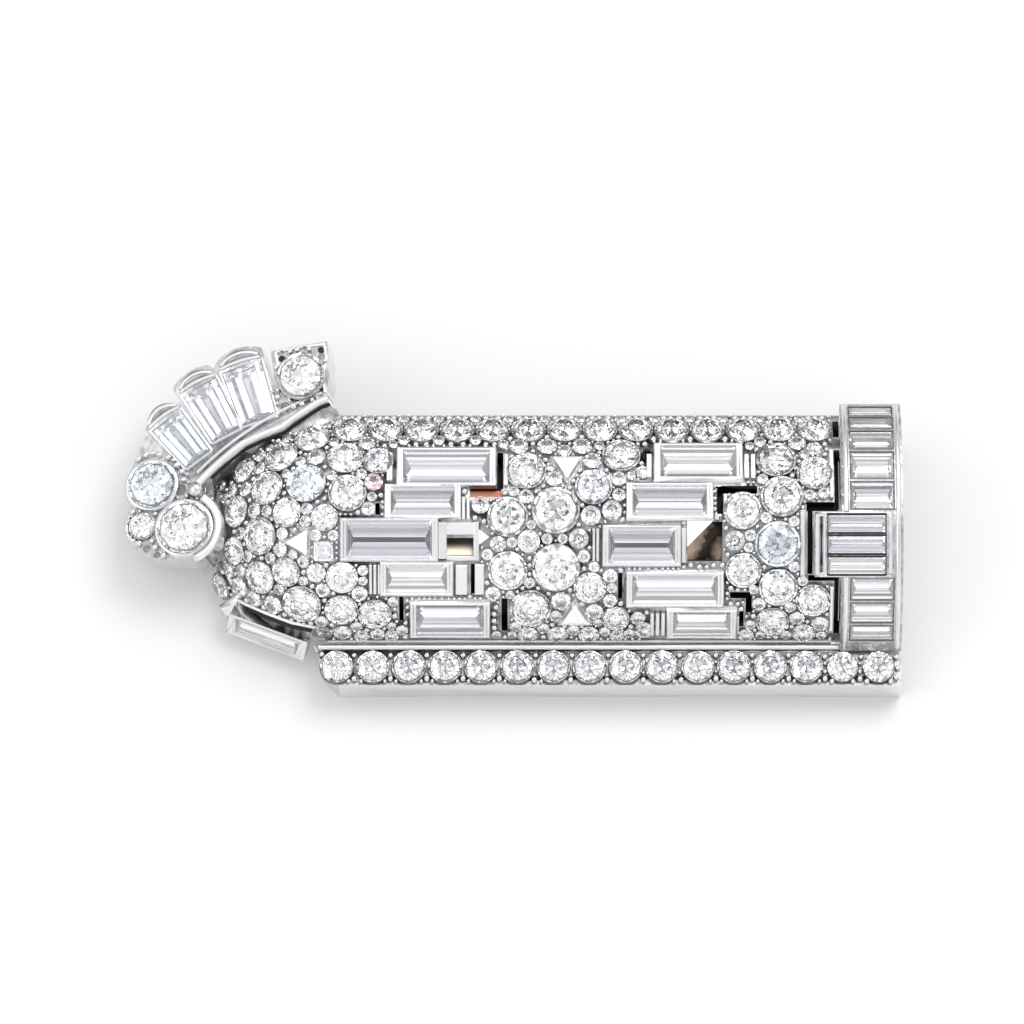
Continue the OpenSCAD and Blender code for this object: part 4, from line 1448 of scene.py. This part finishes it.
class CLIP_OT_cluster_trim(bpy.types.Operator):
    """Lays the bright bars, fluted plates and frames beside the step cut stones of the clusters"""

    bl_idname = "clip.cluster_trim"
    bl_label = "Lay Cluster Trim"

    def execute(self, context):
        shape, plates, cuts = Shape(), Shape(), Shape()
        for name in CLUSTER_STONES:
            self.frame_stone(shape, one_stone(name))
        for x0, x1, up0, up1, count in FLUTED_PLATES:
            pitch = (x1 - x0) / count
            for i in range(count):
                self.lay(shape, x0 + (i + 0.5) * pitch, (up0 + up1) / 2, pitch * 0.68, up1 - up0, 0.08)
        for bars, target in ((BRIGHT_BARS, shape), (DARK_BARS, cuts)):
            for x0, x1, up0, up1, top in bars:
                self.lay(target, (x0 + x1) / 2, (up0 + up1) / 2, x1 - x0, up1 - up0, top)
        for corners in (WHITE_PLATE, WHITE_POINT):
            add_prism(plates, corners, -0.5, 0.04)
        finished_piece("cluster_trim", [shape.part("bright")], "platinum")
        # The plates glow faintly as painted light, and the dark bars are painted shade.
        finished_piece("cluster_plates", [plates.part("foil"), cuts.part("black")], "platinum")
        return {"FINISHED"}

    def frame_stone(self, shape, stone):
        """Two bars at each end of a step cut stone and a thin one along each side."""
        half_length, half_width = stone.half
        end_bar = (0.15 * MM, 2 * half_width + 0.34 * MM, 0.40 * MM, 0.04 * MM)
        side_bar = (2 * half_length + 0.5 * MM, 0.13 * MM, 0.38 * MM, 0.04 * MM)
        for side in (-1, 1):
            for offset in (-0.01, 0.19):
                add_by_stone(shape, stone, end_bar, (side * (half_length + offset * MM), 0, -TRIM_DEPTH))
            add_by_stone(shape, stone, side_bar, (0, side * (half_width + 0.07 * MM), -TRIM_DEPTH))

    def lay(self, shape, x, up, length, width, top):
        """Lays a bar on the face by its middle, all in millimetres, its foot in the metal."""
        middle, axes = face_place(x * MM, up * MM, -TRIM_DEPTH)
        points, faces = bar_solid(length * MM, width * MM, top * MM + TRIM_DEPTH, 0.05 * MM)
        shape.add_convex(middle + points @ axes.T, faces)


class CLIP_OT_linings(bpy.types.Operator):
    """Puts the dark sheets of painted shade and the gold and copper leaves of the fitting that show through
    the gaps
    """

    bl_idname = "clip.linings"
    bl_label = "Line Gaps"

    def execute(self, context):
        for finish, slot in (("black", "platinum"), ("warm", "gold"), ("copper", "gold"), ("brown", "gold")):
            shape = Shape()
            for x0, x1, up0, up1, r0, r1, kind in LININGS:
                if kind == finish:
                    self.sheet(shape, x0 * MM, x1 * MM, up0 * MM, up1 * MM, r0 * MM, r1 * MM)
            finished_piece(f"{finish}_linings", [shape.part(finish)], slot)
        return {"FINISHED"}

    def sheet(self, shape, x0, x1, up0, up1, r0, r1):
        """A thin curved sheet under the plate, which may climb from one radius to another."""
        count = 8
        angles = np.linspace(math.asin(up0 / BARREL_R), math.asin(up1 / BARREL_R), count)
        points = []
        for angle, r in zip(angles, np.linspace(r0, r1, count)):
            for x, depth in ((x0, 0.0), (x1, 0.0), (x1, 0.15), (x0, 0.15)):
                points.append(barrel_point(x, angle, r - depth * MM))
        shape.add(points, [(3, 2, 1, 0), tuple(4 * count - 4 + i for i in range(4))] + tube_faces(count, 4))


class CLIP_OT_edge_trim(bpy.types.Operator):
    """Draws the bright wires behind the rail, along the band and round the lower edge of the dome"""

    bl_idname = "clip.edge_trim"
    bl_label = "Draw Edge Trim"

    def execute(self, context):
        start, end, y, z = RAIL_WIRE
        rail = [(x * MM, y * MM, z * MM) for x in np.linspace(start, end, 24)]
        start, end, up = FOOT_WIRE
        foot = on_face([(x, up) for x in np.linspace(start, end, 24)], -0.06)
        bands = []
        for x, start, end in BAND_WIRES:
            angles = np.radians(np.linspace(start, end, 30))
            bands.append([barrel_point(x * MM, angle, BAND_WIRE_R) for angle in angles])
        finished_piece("edge_trim", [
            wires([rail], 0.15, "bright"),
            wires(bands[:3], 0.17, "polished", 10),
            # The thin shade wire, the lines beside the band stones and the black wire along the dome's rim
            # are painted shade.
            wires(bands[3:], 0.07, "shade"),
            self.stone_lines(BAND_STONES[:8], 0.09, 0.06, "shade"),
            self.stone_lines(BAND_STONES[8:], 0.10, 0.07, "black"),
            wires([foot], 0.13, "bright"),
            wires([self.dome_rim(-0.02, 0.12)], 0.13, "bright"),
            wires([self.dome_rim(-0.34, -0.02)[5:]], 0.17, "black"),
        ], "platinum")
        return {"FINISHED"}

    def stone_lines(self, names, width, away, finish):
        """Dark lines of painted shade along both sides of step cut stones of the band."""
        lines = Shape()
        for name in names:
            stone = one_stone(name)
            half_length, half_width = stone.half
            sizes = (2 * half_length + 0.1 * MM, width * MM, 0.28 * MM, 0.02 * MM)
            for side in (-1, 1):
                add_by_stone(lines, stone, sizes, (0, side * (half_width + away * MM), -0.2 * MM))
        return lines.part(finish)

    def dome_rim(self, lower, lift):
        """Path along the dome's rim, moved down the face and up from it, in millimetres."""
        places = []
        for (x0, up0), (x1, up1) in zip(DOME_RIM, DOME_RIM[1:]):
            for share in np.linspace(0, 1, 6)[:-1]:
                places.append((x0 + (x1 - x0) * share, up0 + (up1 - up0) * share + lower))
        return on_face(places, lift - 0.2)


class CLIP_OT_fan_trim(bpy.types.Operator):
    """Draws the bright ribbon of the fan's inner rim, the stepped frames of its leaves and its bud"""

    bl_idname = "clip.fan_trim"
    bl_label = "Draw Fan Trim"

    def execute(self, context):
        arc = arc_through(RIM_POINTS, 32)
        ribbon = on_fan([(x, y - self.kink(x)) for x, y in arc], 0.44)
        under = on_fan([(x + 0.10, y - 0.24 - self.kink(x)) for x, y in arc], 0.22)
        steps, lines, frames = [], [], Shape()
        for name in FAN_STONES:
            self.leaf(one_stone(name), steps, lines, frames)
        lines.append(self.ring(BUD, 0.5))
        # The dark discs are painted shade that stands in for piercings.
        dark_disc_spots = [fan_place(x * MM, y * MM) for x, y in DARK_DISCS]
        dark_disc_spots = [(point, axes[:, 2], (0.19 * MM, 0.19 * MM, 0.05 * MM)) for point, axes in dark_disc_spots]
        disc = turned_piece("piercing", [(1.0, -1.0), (1.0, 1.0)], 16, False)
        finished_piece("fan_trim", [
            wires([ribbon, self.curl()], 0.25, "bright", 10),
            wires([on_fan(arc, 0.40)], 0.19, "soft"),
            wires([on_fan(arc_through(RIM_INNER, 32), 0.04)], 0.10, "bright"),
            # The black wire under the ribbon is a painted shadow line.
            wires([under[:-3]], 0.11, "black"),
            wires(self.outlines(), 0.095, "bright"),
            (self.bud(), MATERIALS["bright"]),
            wires(steps, 0.10, "bright"),
            wires(lines, 0.05, "seat"),
            frames.part("polished"),
            set_on_points(dark_disc_spots, disc, "black"),
        ], "platinum")
        return {"FINISHED"}

    def kink(self, x):
        """How far the ribbon leaves its arc round the kink halfway along it, in millimetres."""
        middle, half, depth = RIM_KINK
        return depth * max(0.0, 1 - abs(x - middle) / half)

    def curl(self):
        """The end of the ribbon, turned round the tip of the scroll."""
        x, y, r, start, end = SCROLL_CURL
        return on_fan([(x + r * math.cos(angle) * math.cos(FAN_SLOPE), y + r * math.sin(angle))
                       for angle in np.radians(np.linspace(start, end, 29))], 0.44)

    def ring(self, centre, r):
        """A closed ring on the fan."""
        x, y = centre
        angles = np.linspace(0, 2 * math.pi, 25)
        return on_fan([(x + r * math.cos(angle), y + r * math.sin(angle)) for angle in angles], 0.04)

    def outlines(self):
        """Paths round the end stone's block and along the outer lobes of the scroll."""
        paths = [on_fan(side, 0.03) for side in (BLOCK_RIM, BLOCK_SIDE)]
        start, axes = fan_place(FAN_X, 0.0)
        for name, low, high in LOBES:
            stone = one_stone(name)
            foot = stone.centre - stone.axis * ((stone.centre - start) @ stone.axis)
            r = stone.r + 0.24 * MM
            paths.append([foot + (axes[:, 0] * math.cos(angle) + axes[:, 1] * math.sin(angle)) * r
                          for angle in np.radians(np.linspace(low, high, 24))])
        return paths

    def bud(self):
        """The small round bud in the curl of the scroll."""
        mesh = turned_piece("bud", [(0.42, 0.0), (0.43, 0.50), (0.40, 0.61), (0.33, 0.66), (0, 0.69)], 20)
        point, axes = fan_place(BUD[0] * MM, BUD[1] * MM)
        mesh.transform(Matrix.Scale(MM, 4))
        mesh.transform(Matrix(axes.tolist()).to_4x4())
        mesh.transform(Matrix.Translation(point))
        return mesh

    def leaf(self, stone, steps, lines, frames):
        """Arcs stepped over the outer end of one leaf, and the bars along its sides and its heel."""
        outward = stone.axes[:, 0] * (1 if stone.axes[1, 0] > 0 else -1)
        across = np.cross(stone.axis, outward)
        corners = stone.corners @ stone.axes[:, :2].T
        reaches, sides = corners @ outward, corners @ across
        low, reach = min(reaches), max(reaches)
        far, near = sides[reaches > reach - 0.3 * MM], sides[reaches < low + 0.3 * MM]

        def at(out, side):
            return stone.centre + outward * out + across * side

        def bar(*ends):
            add_bar(frames, at(*ends[:2]), at(*ends[2:]), stone.axis, 0.17 * MM, 0.12 * MM)

        for i, (gap, bow) in enumerate(LEAF_STEPS):
            arc = []
            for t in np.linspace(-1, 1, 15):
                side = (max(far) - min(far)) / 2 * (1.08 - gap * 0.14) * t + (max(far) + min(far)) / 2
                arc.append(at(reach + (gap - bow * t * t * 0.9) * MM, side) + stone.axis * 0.03 * MM)
            (lines if i % 2 else steps).append(arc)
        for pick, sign in ((max, 1), (min, -1)):
            bar(low - 0.1 * MM, pick(near) + sign * 0.12 * MM, reach + 0.1 * MM, pick(far) + sign * 0.12 * MM)
        bar(low - 0.12 * MM, min(near) - 0.1 * MM, low - 0.12 * MM, max(near) + 0.1 * MM)


def camera_way(stage):
    """Direction from the clip to the camera."""
    return 0.0, -math.cos(stage.elevation), math.sin(stage.elevation)


class CLIP_OT_stage(bpy.types.Operator):
    """Builds the floor, the soft lights and the camera"""

    bl_idname = "clip.stage"
    bl_label = "Build Stage"

    def execute(self, context):
        scene = context.scene
        stage = scene.clip_stage
        shape = Shape()
        corners = ((-1, -1), (1, -1), (1, 1), (-1, 1))
        shape.add([(x * FLOOR_HALF, y * FLOOR_HALF, 0) for x, y in corners], [(0, 1, 2, 3)])
        mesh = shape.mesh("floor")
        mesh.transform(Matrix.Translation((0, 0, -FLOOR_GAP)))
        mesh.materials.append(studio_floor("studio_floor", stage.floor))
        new_object("floor", mesh)
        self.light_studio(scene, stage)
        self.place_camera(scene, stage)
        return {"FINISHED"}

    def light_studio(self, scene, stage):
        """A soft broken sky, which the camera sees as white, and two round lamps."""
        world = bpy.data.worlds.new("studio")
        world.use_nodes = True
        scene.world = world
        t = Tree(world.node_tree)
        t.tree.nodes.clear()
        way = t.out(t.node("ShaderNodeTexCoord"), "Generated")
        toward = t.node("ShaderNodeVectorMath", {"operation": "DOT_PRODUCT"}, {0: way, 1: camera_way(stage)})
        patch = t.node("ShaderNodeValToRGB", {"stops": [
            (0.0, (0.60, 0.60, 0.62, 1)),
            (0.30, (1.05, 1.05, 1.05, 1)),
            (0.62, (1.30, 1.30, 1.30, 1)),
            (0.80, (0.84, 0.85, 0.87, 1)),
            (0.90, (1.05, 1.05, 1.07, 1)),
            (0.96, (0.74, 0.74, 0.77, 1)),
            (0.99, (0.42, 0.42, 0.44, 1)),
        ]}, {"Fac": t.out(toward, "Value")})
        patch.color_ramp.interpolation = "EASE"
        bands = t.node("ShaderNodeTexNoise", {}, {"Vector": way, "Scale": 2.3, "Detail": 1.0})
        broken = t.node("ShaderNodeValToRGB", {"stops": [
            (0.36, (0.36, 0.37, 0.41, 1)),
            (0.47, (1.0, 1.0, 1.0, 1)),
            (0.60, (1.2, 1.2, 1.2, 1)),
        ]}, {"Fac": t.out(bands, 0)})
        sky = t.node("ShaderNodeMix", {"data_type": "RGBA", "blend_type": "MULTIPLY"}, {
            0: 1.0, 6: t.out(patch, 0), 7: t.out(broken, 0)})
        rays = t.node("ShaderNodeLightPath")
        seen = t.node("ShaderNodeMix", {"data_type": "RGBA"}, {
            0: t.out(rays, "Is Camera Ray"), 6: t.out(sky, 2), 7: (1.0, 1.0, 1.0, 1.0)})
        back = t.node("ShaderNodeBackground", {}, {"Color": t.out(seen, 2), "Strength": stage.light})
        t.node("ShaderNodeOutputWorld", {}, {"Surface": t.out(back, 0)})
        for name, place, size, power in (
            ("key", (0.25, 0.30, 0.55), 0.45, 2.4),
            ("fill", (-0.45, -0.10, 0.40), 0.35, 0.5),
        ):
            data = bpy.data.lights.new(name, "AREA")
            data.shape = "DISK"
            data.size = size
            data.energy = power
            lamp = bpy.data.objects.new(name, data)
            lamp.location = place
            lamp.rotation_euler = (-Vector(place)).to_track_quat("-Z", "Y").to_euler()
            scene.collection.objects.link(lamp)
        scene.view_settings.view_transform = "Standard"
        scene.cycles.max_bounces = 24
        scene.cycles.transmission_bounces = 20
        scene.cycles.glossy_bounces = 8
        scene.cycles.caustics_reflective = False
        scene.cycles.caustics_refractive = False
        scene.cycles.use_denoising = True

    def place_camera(self, scene, stage):
        """The camera at the photograph's height angle, square to the clip's length."""
        data = bpy.data.cameras.new("camera")
        data.lens = stage.lens
        data.clip_start = 0.01
        camera = bpy.data.objects.new("camera", data)
        away = Vector(camera_way(stage))
        camera.location = Vector((0.0, 0.0, CAMERA_TARGET)) + away * stage.distance
        camera.rotation_euler = (-away).to_track_quat("-Z", "Y").to_euler()
        scene.collection.objects.link(camera)
        scene.camera = camera


OPERATORS = (
    CLIP_OT_finishes,
    CLIP_OT_metalwork,
    CLIP_OT_fitting,
    CLIP_OT_round_stones,
    CLIP_OT_step_stones,
    CLIP_OT_cluster_trim,
    CLIP_OT_linings,
    CLIP_OT_edge_trim,
    CLIP_OT_fan_trim,
    CLIP_OT_stage,
)


class CLIP_PT_panel(bpy.types.Panel):
    """Settings and steps of the dress clip"""

    bl_idname = "CLIP_PT_panel"
    bl_label = "Dress Clip"
    bl_space_type = "VIEW_3D"
    bl_region_type = "UI"
    bl_category = "Dress Clip"

    def draw(self, context):
        for name, group in SETTINGS.items():
            box = self.layout.box()
            for key in group.__annotations__:
                box.prop(getattr(context.scene, name), key)
        for operator in OPERATORS:
            self.layout.operator(operator.bl_idname)


CLASSES = tuple(SETTINGS.values()) + OPERATORS + (CLIP_PT_panel,)


def register():
    for one in CLASSES:
        bpy.utils.register_class(one)
    for name, group in SETTINGS.items():
        setattr(bpy.types.Scene, name, bpy.props.PointerProperty(type=group))


def unregister():
    for name in SETTINGS:
        delattr(bpy.types.Scene, name)
    for one in reversed(CLASSES):
        bpy.utils.unregister_class(one)


def main():
    register()
    for operator in OPERATORS:
        family, step = operator.bl_idname.split(".")
        getattr(getattr(bpy.ops, family), step)()


if __name__ == "__main__":
    main()
